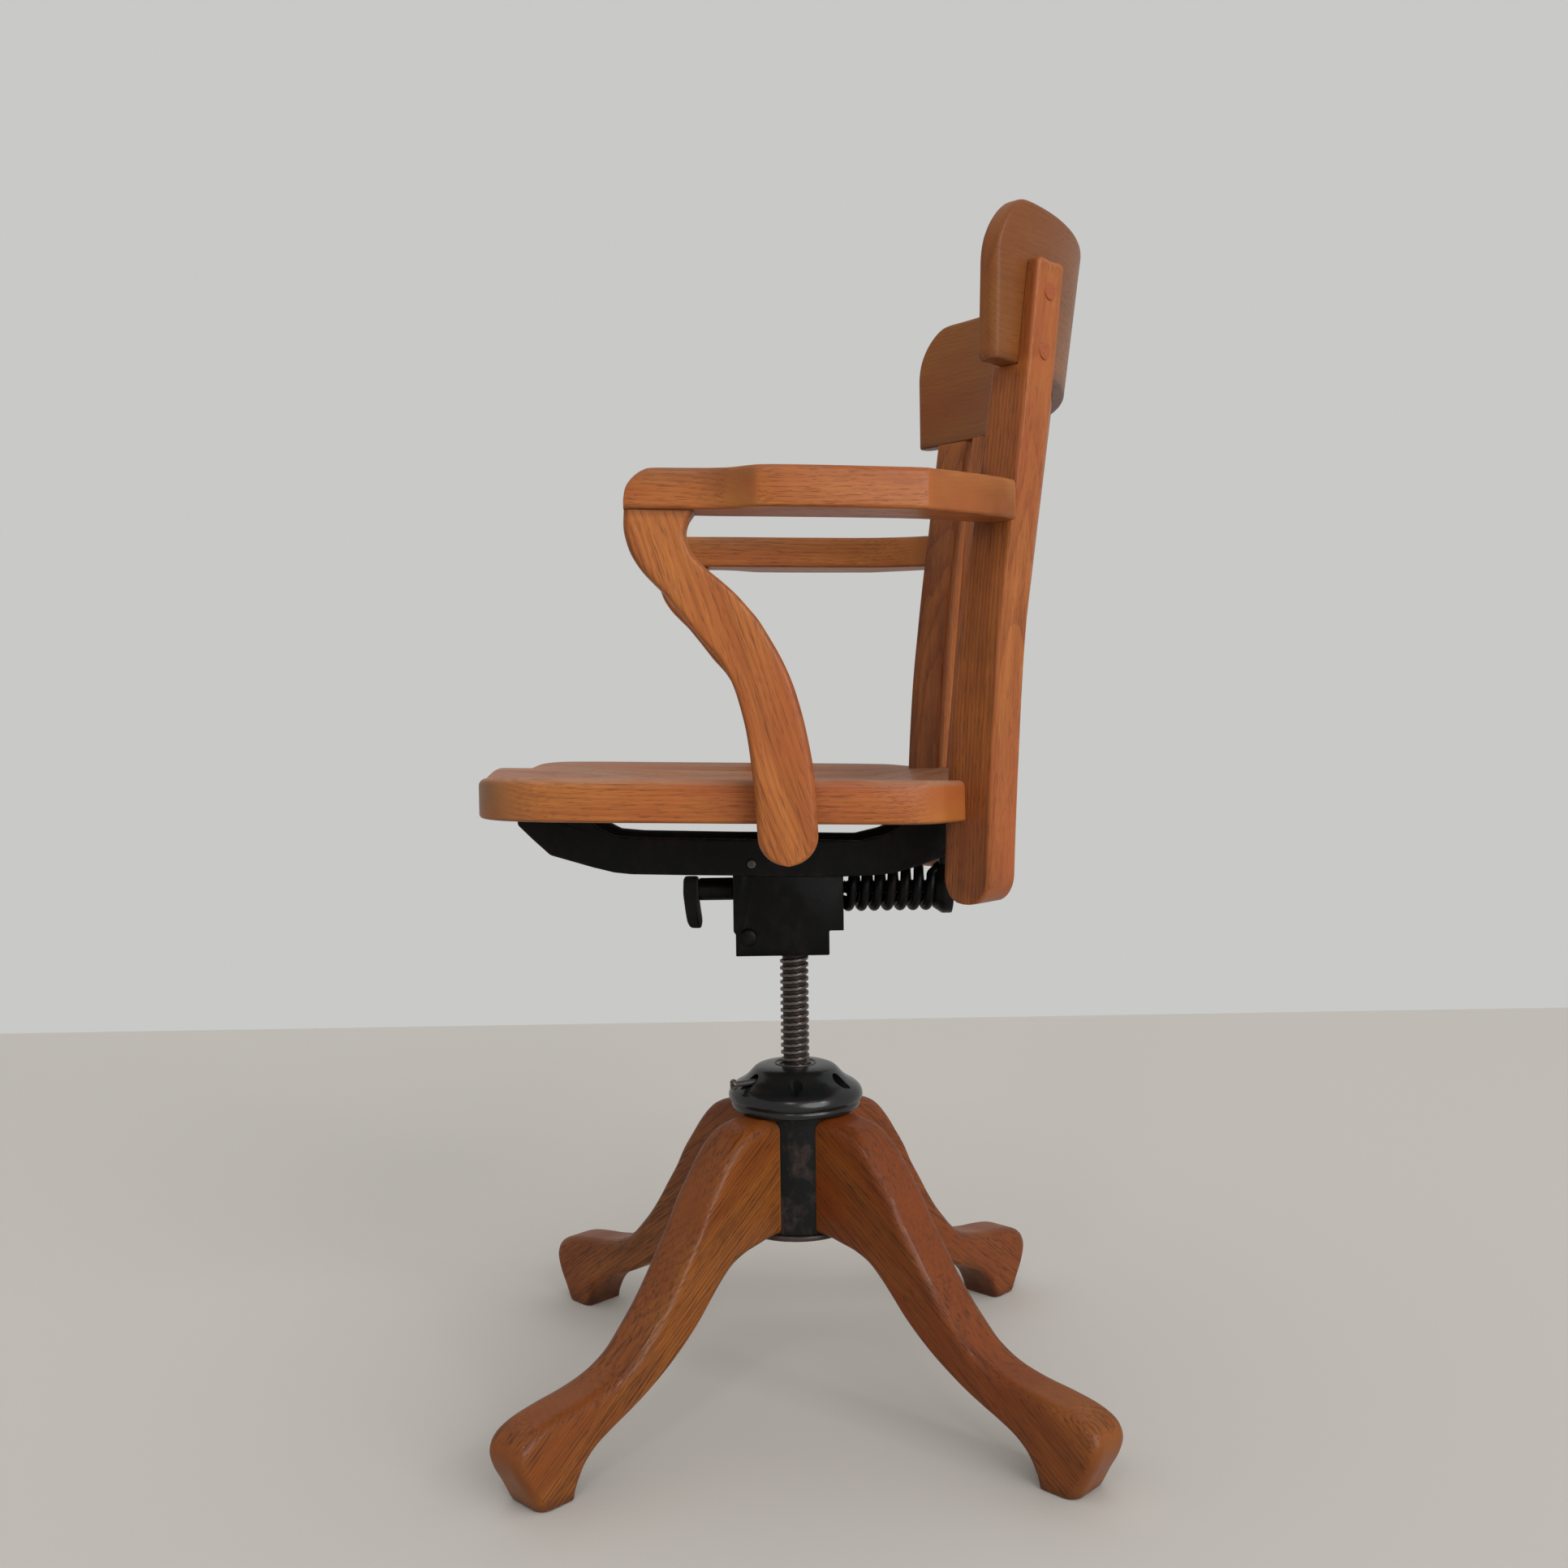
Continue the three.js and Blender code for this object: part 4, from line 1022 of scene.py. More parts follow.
class GeometryTree(Tree):
    """One Geometry Nodes tree with named inputs."""

    def __init__(self, name: str) -> None:
        """Makes an empty tree whose first input and only output are the geometry."""
        super().__init__(bpy.data.node_groups.new(name, "GeometryNodeTree"), "")
        self.face = self.tree.interface
        self.face.new_socket("Geometry", in_out="INPUT", socket_type="NodeSocketGeometry")
        self.face.new_socket("Geometry", in_out="OUTPUT", socket_type="NodeSocketGeometry")
        self.given = self.tree.nodes.new("NodeGroupInput")
        self.result = self.tree.nodes.new("NodeGroupOutput")
        self.identifiers: dict[str, str] = {}
        self.values: dict[str, object] = {}

    def input(self, name: str, kind: str, value: object) -> Socket:
        """Adds a named input with its value and returns its socket."""
        socket = self.face.new_socket(name, in_out="INPUT", socket_type="NodeSocket" + kind)
        self.identifiers[name] = socket.identifier
        self.values[name] = value
        return self.given.outputs[name]

    def geometry(self) -> Socket:
        """The geometry that the tree is given."""
        return self.given.outputs["Geometry"]

    def node(self, kind: str, settings: dict, values: dict, output: Union[int, str] = 0) -> Socket:
        """Adds a node and returns one of its outputs."""
        return self.add(kind, settings, values).outputs[output]

    def spun(self, angle: Socket) -> Socket:
        """A turn about Z."""
        euler = self.node("ShaderNodeCombineXYZ", {}, {"Z": angle})
        return self.node("FunctionNodeEulerToRotation", {}, {0: euler})

    def instanced(self, master: Piece, extras: dict) -> Socket:
        """Puts a master on each given point, with more inputs such as its rotation."""
        source = self.input("Master", "Object", master)
        settings = {"transform_space": "ORIGINAL"}
        shape = self.node("GeometryNodeObjectInfo", settings, {"Object": source}, "Geometry")
        dots = self.node("GeometryNodeMeshToPoints", {}, {"Mesh": self.geometry()})
        return self.node("GeometryNodeInstanceOnPoints", {}, {"Points": dots, "Instance": shape, **extras})

    def run(self, piece: Piece, geometry: Socket, material: Material) -> None:
        """Ends the tree and runs it.

        Args:
            piece: the piece whose mesh the tree is given, and which takes the result as plain mesh.
            geometry: the geometry that the tree ends with.
            material: the result's material.
        """
        real = self.node("GeometryNodeRealizeInstances", {}, {0: geometry})
        last = self.node("GeometryNodeSetMaterial", {}, {"Geometry": real, "Material": material})
        self.tree.links.new(last, self.result.inputs["Geometry"])
        modifier = piece.modifiers.new(self.tree.name, "NODES")
        modifier.node_group = self.tree
        for name, value in self.values.items():
            modifier[self.identifiers[name]] = value
        settle(piece)


# The chair's sub-assemblies.


@dataclass
class Base:
    """Four curved legs round an iron column, closed by a plate below."""

    finishes: Finishes
    reach: float = 0.337
    thickness: float = 0.045
    hip: float = 0.256
    top_round: float = 0.0105
    under_round: float = 0.006
    column_radius: float = 0.050
    bore: float = 0.016
    plate_radius: float = 0.053
    plate_thickness: float = 0.0045
    column_round: float = 0.0006
    plate_round: float = 0.0012
    sole_inset: float = 0.003
    sole_rise: float = 0.0012
    gap: float = 0.0003
    profile: Rows = (
        (0.12, 1, 0.12, 0.592), (0.172, 1, 0.166, 0.591), (0.225, 0.992, 0.214, 0.58),
        (0.276, 0.963, 0.261, 0.568), (0.318, 0.91, 0.309, 0.543), (0.35, 0.855, 0.35, 0.502),
        (0.389, 0.785, 0.389, 0.451), (0.421, 0.711, 0.43, 0.395), (0.46, 0.637, 0.469, 0.35),
        (0.499, 0.562, 0.504, 0.314), (0.54, 0.492, 0.543, 0.279), (0.588, 0.424, 0.585, 0.246),
        (0.641, 0.36, 0.626, 0.217), (0.706, 0.315, 0.671, 0.19), (0.783, 0.29, 0.718, 0.164),
        (0.863, 0.276, 0.76, 0.137), (0.935, 0.258, 0.789, 0.109), (0.981, 0.229, 0.807, 0.082),
        (0.998, 0.184, 0.819, 0.055), (0.988, 0.129, 0.828, 0.031), (0.964, 0.07, 0.832, 0.014),
        (0.938, 0, 0.834, 0),
    )

    def build(self) -> None:
        """Builds and dresses the base."""
        names = ("leg_rear_left", "leg_rear_right", "leg_front_right", "leg_front_left")
        for i, name in enumerate(names):
            dress(self.leg(i, name), self.finishes.base_oak, Body.BASE, Slot.OAK_BASE, name)
        foot = self.profile[1][3] * self.hip
        column = tube(self.bore, self.column_radius, foot, self.hip + self.gap)
        piece = turned("hub_column_iron", column, self.column_round, Matrix())
        dress(piece, self.finishes.column, Body.BASE, Slot.CAST_IRON, "hub_column")
        top = foot - self.gap
        plate = tube(self.bore, self.plate_radius, top - self.plate_thickness, top)
        piece = turned("hub_plate_iron", plate, self.plate_round, Matrix())
        dress(piece, self.finishes.plate, Body.BASE, Slot.BLACK_IRON, "hub_bottom_plate")

    def leg(self, index: int, node: str) -> Piece:
        """One leg, drawn in the plane through the axis and turned to its corner."""
        half = self.thickness / 2
        turn = Matrix.Rotation(math.radians(90 * (index + 0.5)), 4, "Z")
        seat = self.column_radius + self.gap
        rings = []
        for top_r, top_z, under_r, under_z in stations(self.profile, 96):
            r0, z0 = under_r * self.reach, under_z * self.hip
            r1, z1 = top_r * self.reach, top_z * self.hip
            steps = ((r0, -half, z0), (r0, half, z0), (r1, half, z1), (r1, -half, z1))
            radii = (self.under_round, self.under_round, self.top_round, self.top_round)
            ring = rounded([Vector(step) for step in steps], radii)
            for p in ring.points:
                p.x = max(p.x, math.sqrt(seat**2 - p.y**2))
            rings.append(ring)
        end = rings[-1]
        sole = end.moved(Vector(), self.sole_inset, 0.0)
        for p in sole.points:
            p.z = 0.0
        for p in end.points:
            p.z = max(p.z, self.sole_rise)
        rings.append(sole)
        for ring in rings:
            ring.points = [turn @ p for p in ring.points]
        along = turn @ Vector((0.811, 0, -0.585))
        up = turn @ Vector((0.585, 0, 0.811))
        board = Board(along, up.cross(along), index + 3, tone=(0.35, 0.3, 0.1, -0.35)[index])

        def grime_and_shade(p: Vector, normal: Vector) -> float:
            """How much darker the foot is towards the floor, most on its inner side."""
            inner = smooth(-normal.dot(turn @ Vector((1, 0, 0))), 0.2, 0.8)
            low = 1 - smooth(p.z, 0.002, 0.012)
            return 0.5 * low + 0.9 * inner * (1 - smooth(p.z, 0.008, 0.036))

        return grimed_and_shaded(skin(node + "_oak", rings, board), grime_and_shade)


@dataclass
class Collar:
    """The cast collar that is turned to set the height, on a thrust washer."""

    finishes: Finishes
    hip: float = 0.256
    gap: float = 0.0003
    turn_gap: float = 0.0006
    bore: float = 0.016
    washer_radius: float = 0.046
    washer_thickness: float = 0.0033
    radius: float = 0.0620
    height: float = 0.0448
    neck: float = 0.0136
    neck_round: float = 0.0015
    mouth: tuple[float, float] = (0.0177, 0.0191)
    mouth_rise: float = 0.0006
    mouth_round: float = 0.0003
    body_round: float = 0.0022
    washer_round: float = 0.0004
    screw_round: float = 0.0012
    slot: tuple[float, float, float] = (0.0012, 0.02, 0.0028)
    hole_radius: float = 0.0066
    holes: int = 6
    first_hole: float = math.radians(-1.8)
    hole_share: float = 0.605
    bottom_share: float = 0.34
    lock_index: int = 5
    lock_radius: float = 0.0025
    lock_head: float = 0.0050
    lock_neck: float = 0.0628
    lock_thickness: float = 0.0034
    profile: Outline = (
        (0.84, 0), (0.925, 0), (0.955, 0.04), (0.958, 0.115), (0.94, 0.15), (0.983, 0.18),
        (1, 0.24), (0.993, 0.32), (0.962, 0.405), (0.91, 0.468), (0.855, 0.513), (0.795, 0.56),
        (0.735, 0.62), (0.68, 0.70), (0.635, 0.77), (0.595, 0.82), (0.54, 0.853), (0.46, 0.876),
        (0.36, 0.887), (0.26, 0.889),
    )

    def build(self) -> None:
        """Builds and dresses the collar, its washer and its lock screw."""
        washer_foot = self.hip + 2 * self.gap
        foot = self.hip + self.gap + self.washer_thickness / 3
        washer_top = washer_foot + self.washer_thickness
        ring = tube(self.bore + self.turn_gap, self.washer_radius, washer_foot, washer_top)
        piece = turned("thrust_ring", ring, self.washer_round, Matrix())
        dress(piece, self.finishes.steel, Body.COLLAR, Slot.WORN_STEEL, "thrust_washer")
        recess = washer_top + self.gap
        top = foot + self.profile[-1][1] * self.height
        shape = [
            (self.neck, recess),
            (self.washer_radius + self.turn_gap, recess),
            *((r * self.radius, foot + z * self.height) for r, z in self.profile),
            (self.neck, top - self.neck_round),
            (self.neck, recess),
        ]
        body = turned("collar_iron", shape, self.body_round, Matrix(), sides=120)
        level = foot + self.hole_share * self.height
        bottom, end = self.bottom_share * self.radius, 2 * self.radius
        ways = [self.outwards(i, level) for i in range(self.holes)]
        cutters = [drill(self.hole_radius, bottom, end, way) for way in ways]
        cutters.append(drill(self.lock_radius, self.neck / 2, self.radius, ways[self.lock_index]))
        bored(body, cutters)
        dress(body, self.finishes.enamel, Body.COLLAR, Slot.CAST_IRON, "height_collar")
        screw = self.lock_screw(ways[self.lock_index])
        dress(screw, self.finishes.pin, Body.COLLAR, Slot.WORN_STEEL, "lock_screw")
        rim = tube(*self.mouth, top - self.mouth_rise, top + self.mouth_rise)
        piece = turned("collar_mouth_ring", rim, self.mouth_round, Matrix())
        dress(piece, self.finishes.pin, Body.COLLAR, Slot.WORN_STEEL)

    def outwards(self, index: int, level: float) -> Matrix:
        """Turns +Z to point out from the axis at one of the holes."""
        angle = self.first_hole + 2 * math.pi * index / self.holes
        return moved_to(0, 0, level) @ Matrix.Rotation(angle, 4, "Z") @ ALONG_X

    def lock_screw(self, place: Matrix) -> Piece:
        """The small screw that locks the collar, with a slot in its head."""
        neck = self.lock_neck
        end = neck + self.lock_thickness
        profile = [
            (0, self.neck + self.gap),
            (self.lock_radius, self.neck + self.gap),
            (self.lock_radius, neck),
            (self.lock_head, neck),
            (self.lock_head, end),
            (0, end),
        ]
        screw = turned("lock_screw_steel", profile, self.screw_round, place, sides=40)
        bored(screw, [block("slot", self.slot, place @ moved_to(0, 0, end))])
        return screw


def block(name: str, size: Sequence[float], place: Matrix) -> Piece:
    """A plain box for cutting, centred on its place."""
    x, y, z = (s / 2 for s in size)
    corners = [(-x, -y), (x, -y), (x, y), (-x, y)]
    rings = [Ring([place @ Vector((a, b, c)) for a, b in corners], [0.0] * 4) for c in (-z, z)]
    return skin(name, rings)


def bored(piece: Piece, cutters: Sequence[Piece]) -> None:
    """Cuts tools out of a piece and removes them.

    Args:
        piece: the piece that is cut.
        cutters: closed tools.
    """
    for tool in cutters:
        hole = piece.modifiers.new("hole", "BOOLEAN")
        hole.operation = "DIFFERENCE"
        hole.solver = "EXACT"
        hole.object = tool
    settle(piece)
    for tool in cutters:
        bpy.data.objects.remove(tool)
    if "edge" not in piece.data.attributes:
        plain_edges(piece)


def threaded(
    name: str,
    foot: float,
    top: float,
    radius: float,
    depth: float,
    pitch: float,
    place: Matrix,
    sides: int,
) -> Piece:
    """A threaded rod, closed at both ends.

    Args:
        name: the piece's name.
        foot: its lower end along the axis.
        top: its upper end.
        radius: the radius over the thread.
        depth: the thread's depth.
        pitch: the rise of one turn.
        place: turns its axis from +Z and moves it.
        sides: the number of sides.

    Returns:
        The new object, whose edge attribute is 1 on the thread's crest.
    """
    steps = round((top - foot) / pitch * 12)
    rings = []
    for i in range(steps + 1):
        z = lerp(foot, top, i / steps)
        runout = min(1.0, (z - foot) / pitch, (top - z) / pitch)
        ring = Ring([], [])
        for k in range(sides):
            turn = k / sides
            away = abs((z / pitch - turn) % 1.0 - 0.5) * 2
            high = (1 - smooth(away, 0.34, 0.66)) * smooth(runout, 0.0, 1.0)
            r = radius - depth * (1 - high)
            angle = 2 * math.pi * turn
            ring.points.append(place @ Vector((r * math.cos(angle), r * math.sin(angle), z)))
            ring.edge.append(high)
        rings.append(ring)
    return skin(name, rings)


@dataclass
class Spindle:
    """The height screw with the tilt casting on its top, and the pivot and rivet across it."""

    finishes: Finishes
    radius: float = 0.0131
    thread: float = 0.0023
    pitch: float = 0.0065
    foot: float = 0.170
    top: float = 0.428
    casting_half: float = 0.037
    gap: float = 0.0003
    pivot_radius: float = 0.004
    pivot_half: float = 0.047
    pivot_y: float = -0.038
    pivot_z: float = 0.486
    rivet_radius: float = 0.0045
    rivet_head: float = 0.0082
    rivet_height: float = 0.003
    rivet_y: float = -0.042
    rivet_z: float = 0.419
    rear_wall: float = 0.037
    casting_round: float = 0.0011
    pin_round: float = 0.0008

    def build(self) -> None:
        """Builds and dresses the spindle's pieces."""
        screw = threaded(
            "screw_steel", self.foot, self.top, self.radius, self.thread, self.pitch, Matrix(), 72
        )
        dress(screw, self.finishes.steel, Body.SPINDLE, Slot.WORN_STEEL, "height_screw")
        casting = softened("casting_iron", "tilt_casting", self.casting_round, pierced=self.rear_wall)
        dress(casting, self.finishes.paint, Body.SPINDLE, Slot.BLACK_IRON, "tilt_casting")
        dome = self.pivot_radius / 2
        half = [
            (self.pivot_radius, self.pivot_half),
            (self.pivot_radius * 0.86, self.pivot_half + 0.75 * dome),
            (0, self.pivot_half + dome),
        ]
        pivot = self.cross_pin("pivot_steel", half, self.pivot_y, self.pivot_z)
        dress(pivot, self.finishes.pin, Body.SPINDLE, Slot.WORN_STEEL, "pivot_rod")
        face = self.casting_half + self.gap
        head = [(1, 0), (0.97, 0.3), (0.86, 0.62), (0.65, 0.86), (0.35, 0.97), (0, 1)]
        half = [(self.rivet_radius, face)]
        half += [(r * self.rivet_head, face + x * self.rivet_height) for r, x in head]
        rivet = self.cross_pin("rivet_iron", half, self.rivet_y, self.rivet_z)
        dress(rivet, self.finishes.paint, Body.SPINDLE, Slot.BLACK_IRON, "casting_rivet")

    def cross_pin(self, name: str, half: Outline, y: float, z: float) -> Piece:
        """A pin about X from half of its outline."""
        profile = [(r, -x) for r, x in reversed(half)] + list(half)
        return turned(name, profile, self.pin_round, moved_to(0, y, z) @ ALONG_X, sides=48)


@dataclass
class Tension:
    """The tension screw through the spring, with its sleeve and flat handle."""

    finishes: Finishes
    axis: float = 0.459
    rod: float = 0.006
    thread: float = 0.0007
    pitch: float = 0.0026
    front: float = -0.0863
    rear: float = 0.151
    sleeve: float = 0.0103
    sleeve_rear: float = -0.0553
    sleeve_round: float = 0.0008
    stub: float = 0.005
    stub_end: float = -0.1008
    gap: float = 0.0003
    handle_front: float = -0.0983
    handle_thickness: float = 0.012
    handle_width: float = 0.018
    handle_reach: float = 0.035
    handle_round: float = 0.0035
    handle_edge: float = 0.0014
    handle: Outline = (
        (-0.15, -0.33), (1, -0.33), (1.03, 0.29), (1.12, 0.54), (1.24, 0.83), (1.18, 1),
        (0.34, 0.99), (0.1, 0.84), (-0.04, 0.54), (-0.19, 0.1),
    )

    def build(self) -> None:
        """Builds and dresses the tension screw and its handle."""
        place = moved_to(0, 0, self.axis) @ ALONG_Y
        stem = threaded("stem", self.sleeve_rear, self.rear, self.rod, self.thread, self.pitch, place, 36)
        profile = [
            (0, self.stub_end),
            (self.stub, self.stub_end),
            (self.stub, self.front),
            (self.sleeve * 0.93, self.front),
            (self.sleeve, self.front + 0.0012),
            (self.sleeve, self.sleeve_rear),
            (0, self.sleeve_rear),
        ]
        sleeve = turned("sleeve", profile, self.sleeve_round, place)
        screw = joined("tension_screw_iron", [stem, sleeve])
        dress(screw, self.finishes.paint, Body.TENSION, Slot.BLACK_IRON, "tension_screw")
        start, reach = self.handle_front - self.gap, self.handle_reach
        outline = [(start + y * self.handle_thickness, self.axis - z * reach) for y, z in self.handle]
        half = self.handle_width / 2
        plate = slab("tension_handle_iron", outline, -half, half, self.handle_round, self.handle_edge)
        bored(plate, [drill(self.stub + self.gap, -0.13, -0.07, place)])
        dress(plate, self.finishes.paint, Body.TENSION, Slot.BLACK_IRON, "tension_handle")


@dataclass
class Spring:
    """The tilt spring: a wire that leaves the casting, coils and enters the cup."""

    finishes: Finishes
    axis: float = 0.459
    wire: float = 0.0046
    coil: float = 0.0177
    turns: float = 6.43
    first_angle: float = math.radians(-134)
    start: float = 0.044
    end: float = 0.131
    still: float = -0.045
    bend_share: float = 1.15
    bend_steps: int = 8
    turn_steps: int = 40

    def path(self) -> list[Vector]:
        """The wire's middle line."""
        bend = self.bend_share * self.wire
        lead = bend / self.coil
        sweep = 2 * math.pi * self.turns
        places = [(self.start - 2 * self.wire, 0.0)]
        for i in range(self.bend_steps + 1):
            angle = i / self.bend_steps * math.pi / 2
            places.append((self.start + bend * math.sin(angle), lead * (1 - math.cos(angle))))
        steps = round(self.turn_steps * self.turns)
        for i in range(1, steps):
            t = i / steps
            places.append((lerp(self.start + bend, self.end - bend, t), lead + t * sweep))
        for i in range(self.bend_steps, -1, -1):
            angle = i / self.bend_steps * math.pi / 2
            turn = 2 * lead + sweep - lead * (1 - math.cos(angle))
            places.append((self.end - bend * math.sin(angle), turn))
        places.append((self.end + 2 * self.wire, 2 * lead + sweep))
        path = []
        for y, turn in places:
            a = self.first_angle + turn
            path.append(Vector((self.coil * math.cos(a), y, self.axis + self.coil * math.sin(a))))
        return path

    def build(self) -> None:
        """Sweeps the wire along its path from the casting to the cup."""
        path = self.path()
        mesh = bpy.data.meshes.new("spring_path")
        mesh.from_pydata(path, [(i, i + 1) for i in range(len(path) - 1)], [])
        piece = shown("tilt_spring_wire", mesh)
        tree = GeometryTree("swept wire")
        section = {
            "Resolution": tree.input("Wire Sides", "Int", 16),
            "Radius": tree.input("Wire Radius", "Float", self.wire),
        }
        curve = tree.node("GeometryNodeMeshToCurve", {}, {0: tree.geometry()})
        ring = tree.node("GeometryNodeCurvePrimitiveCircle", {"mode": "RADIUS"}, section)
        swept = {"Curve": curve, "Profile Curve": ring, "Fill Caps": True}
        wire = tree.node("GeometryNodeCurveToMesh", {}, swept)
        tree.run(piece, wire, self.finishes.paint)
        piece.data.materials.clear()
        piece.data.materials.append(self.finishes.paint)
        outward(piece.data)
        shade(piece.data)
        plain_edges(piece)
        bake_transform(piece)
        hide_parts("tilt_spring")
        LOG.info("%s stretches from the spindle to the seat", piece.name)


def seat_floor(y: float) -> float:
    """The height of the seat's underside at a depth."""
    return SEAT_UNDERSIDE - SEAT_RISE * y


@dataclass
class SeatIrons:
    """The two side irons under the seat, and the cup on a bar between them."""

    finishes: Finishes
    gap: float = 0.0003
    thickness: float = 0.005
    spread: float = 0.042
    lug: float = 0.004
    lug_width: float = 0.030
    front: float = -0.243
    rear: float = 0.172
    depth: float = 0.057
    pivot: tuple[float, float, float] = (0.0043, -0.038, 0.486)
    iron_round: float = 0.002
    iron_edge: float = 0.0011
    cup_round: float = 0.0009
    screw_head: float = 0.0052
    slot: tuple[float, float, float] = (0.0012, 0.02, 0.0022)
    lugs: Outline = ((0.006, 0.128), (0.87, 0.994))
    lower: Outline = (
        (-0.004, 0), (-0.004, 0.245), (0.027, 0.466), (0.0645, 0.714), (0.154, 0.898), (0.2, 0.978),
        (0.236, 1.004), (0.34, 1.012), (0.69, 1.02), (0.76, 0.995), (0.8, 0.96), (0.85, 0.853),
        (0.905, 0.7), (0.955, 0.5), (0.99, 0.2), (1, 0),
    )
    upper: Outline = (
        (0.87, 0), (0.83, 0.18), (0.785, 0.35), (0.73, 0.45), (0.45, 0.445), (0.25, 0.43),
        (0.2, 0.4), (0.165, 0.27), (0.128, 0),
    )

    def build(self) -> None:
        """Builds and dresses the irons, their screws and the cup."""
        for side, name in ((1, "seat_iron_left"), (-1, "seat_iron_right")):
            dress(self.iron(side, name), self.finishes.paint, Body.SEAT, Slot.BLACK_IRON, name)
        cup = softened("spring_cup_iron", "spring_cup", self.cup_round)
        dress(cup, self.finishes.paint, Body.SEAT, Slot.BLACK_IRON, "spring_cup")
        dress(self.screws(), self.finishes.steel, Body.SEAT, Slot.BLACK_IRON)

    def place(self, y_share: float, z_share: float) -> tuple[float, float]:
        """A point on the iron from its shares."""
        y = lerp(self.front, self.rear, y_share)
        return y, seat_floor(y) - self.gap - z_share * self.depth

    def iron(self, side: int, name: str) -> Piece:
        """One iron: a web on edge and two lugs turned out under the seat."""
        inner = self.spread - self.thickness / 2
        outline = [self.place(*row) for row in (*self.lower, *self.upper)]
        rims = (self.iron_round, self.iron_edge)
        web = slab("web", outline, side * inner, side * (inner + self.thickness), *rims)
        r, y, z = self.pivot
        bored(web, [drill(r, -0.1, 0.1, moved_to(0, y, z) @ ALONG_X)])
        pieces = [web]
        for start, end in self.lugs:
            (y0, z0), (y1, z1) = self.place(start, 0), self.place(end, 0)
            lug = [(y0, z0), (y0, z0 - self.lug), (y1, z1 - self.lug), (y1, z1)]
            x0, x1 = side * (inner + 0.001), side * (inner + self.lug_width)
            pieces.append(slab("lug", lug, x0, x1, self.iron_round / 2, self.iron_edge))
        return joined(name + "_iron", pieces)

    def screws(self) -> Piece:
        """The round-headed screws through the lugs, instanced on points."""
        points = []
        for start, end in self.lugs:
            for share in (0.28, 0.72):
                y, z = self.place(lerp(start, end, share), 0)
                for side in (1, -1):
                    x = side * (self.spread + 0.55 * self.lug_width)
                    points.append(Vector((x, y, z - self.lug)))
        mesh = bpy.data.meshes.new("screw_points")
        mesh.from_pydata(points, [], [])
        piece = shown("lug_screws", mesh)
        head = [(0, 0.0004), (1, 0.0004), (0.98, -0.0008), (0.8, -0.0018), (0.45, -0.0026), (0, -0.0029)]
        profile = [(r * self.screw_head, z) for r, z in head]
        master = turned("screw_head", profile, 0.0003, Matrix(), sides=24)
        bored(master, [block("slot", self.slot, moved_to(0, 0, -0.003))])
        tree = GeometryTree("screws on points")
        seed = tree.input("Turn Seed", "Int", 5)
        values = {2: 0.0, 3: math.pi, "Seed": seed}
        spin = tree.spun(tree.node("FunctionNodeRandomValue", {"data_type": "FLOAT"}, values, 1))
        tree.run(piece, tree.instanced(master, {"Rotation": spin}), self.finishes.steel)
        bpy.data.objects.remove(master)
        return piece


def closed_curve(points: Sequence[Vector], count: int) -> list[Vector]:
    """Evenly spaced points on a smooth loop through given points.

    Args:
        points: the given points.
        count: how many points are wanted.

    Returns:
        The points, starting at the first given point.
    """
    dense: list[Vector] = []
    total = len(points)
    for i in range(total):
        p = [points[(i + k - 1) % total] for k in range(4)]
        t = [0.0]
        for k in range(3):
            t.append(t[-1] + math.sqrt((p[k + 1] - p[k]).length))
        for step in range(24):
            at = lerp(t[1], t[2], step / 24)
            a = [p[k].lerp(p[k + 1], (at - t[k]) / (t[k + 1] - t[k])) for k in range(3)]
            b = [a[k].lerp(a[k + 1], (at - t[k]) / (t[k + 2] - t[k])) for k in range(2)]
            dense.append(b[0].lerp(b[1], (at - t[1]) / (t[2] - t[1])))
    lengths = [0.0]
    for i, p in enumerate(dense):
        lengths.append(lengths[-1] + (dense[(i + 1) % len(dense)] - p).length)
    even: list[Vector] = []
    i = 0
    for k in range(count):
        wanted = lengths[-1] * k / count
        while lengths[i + 1] < wanted:
            i += 1
        share = (wanted - lengths[i]) / (lengths[i + 1] - lengths[i])
        even.append(dense[i].lerp(dense[(i + 1) % len(dense)], share))
    return even


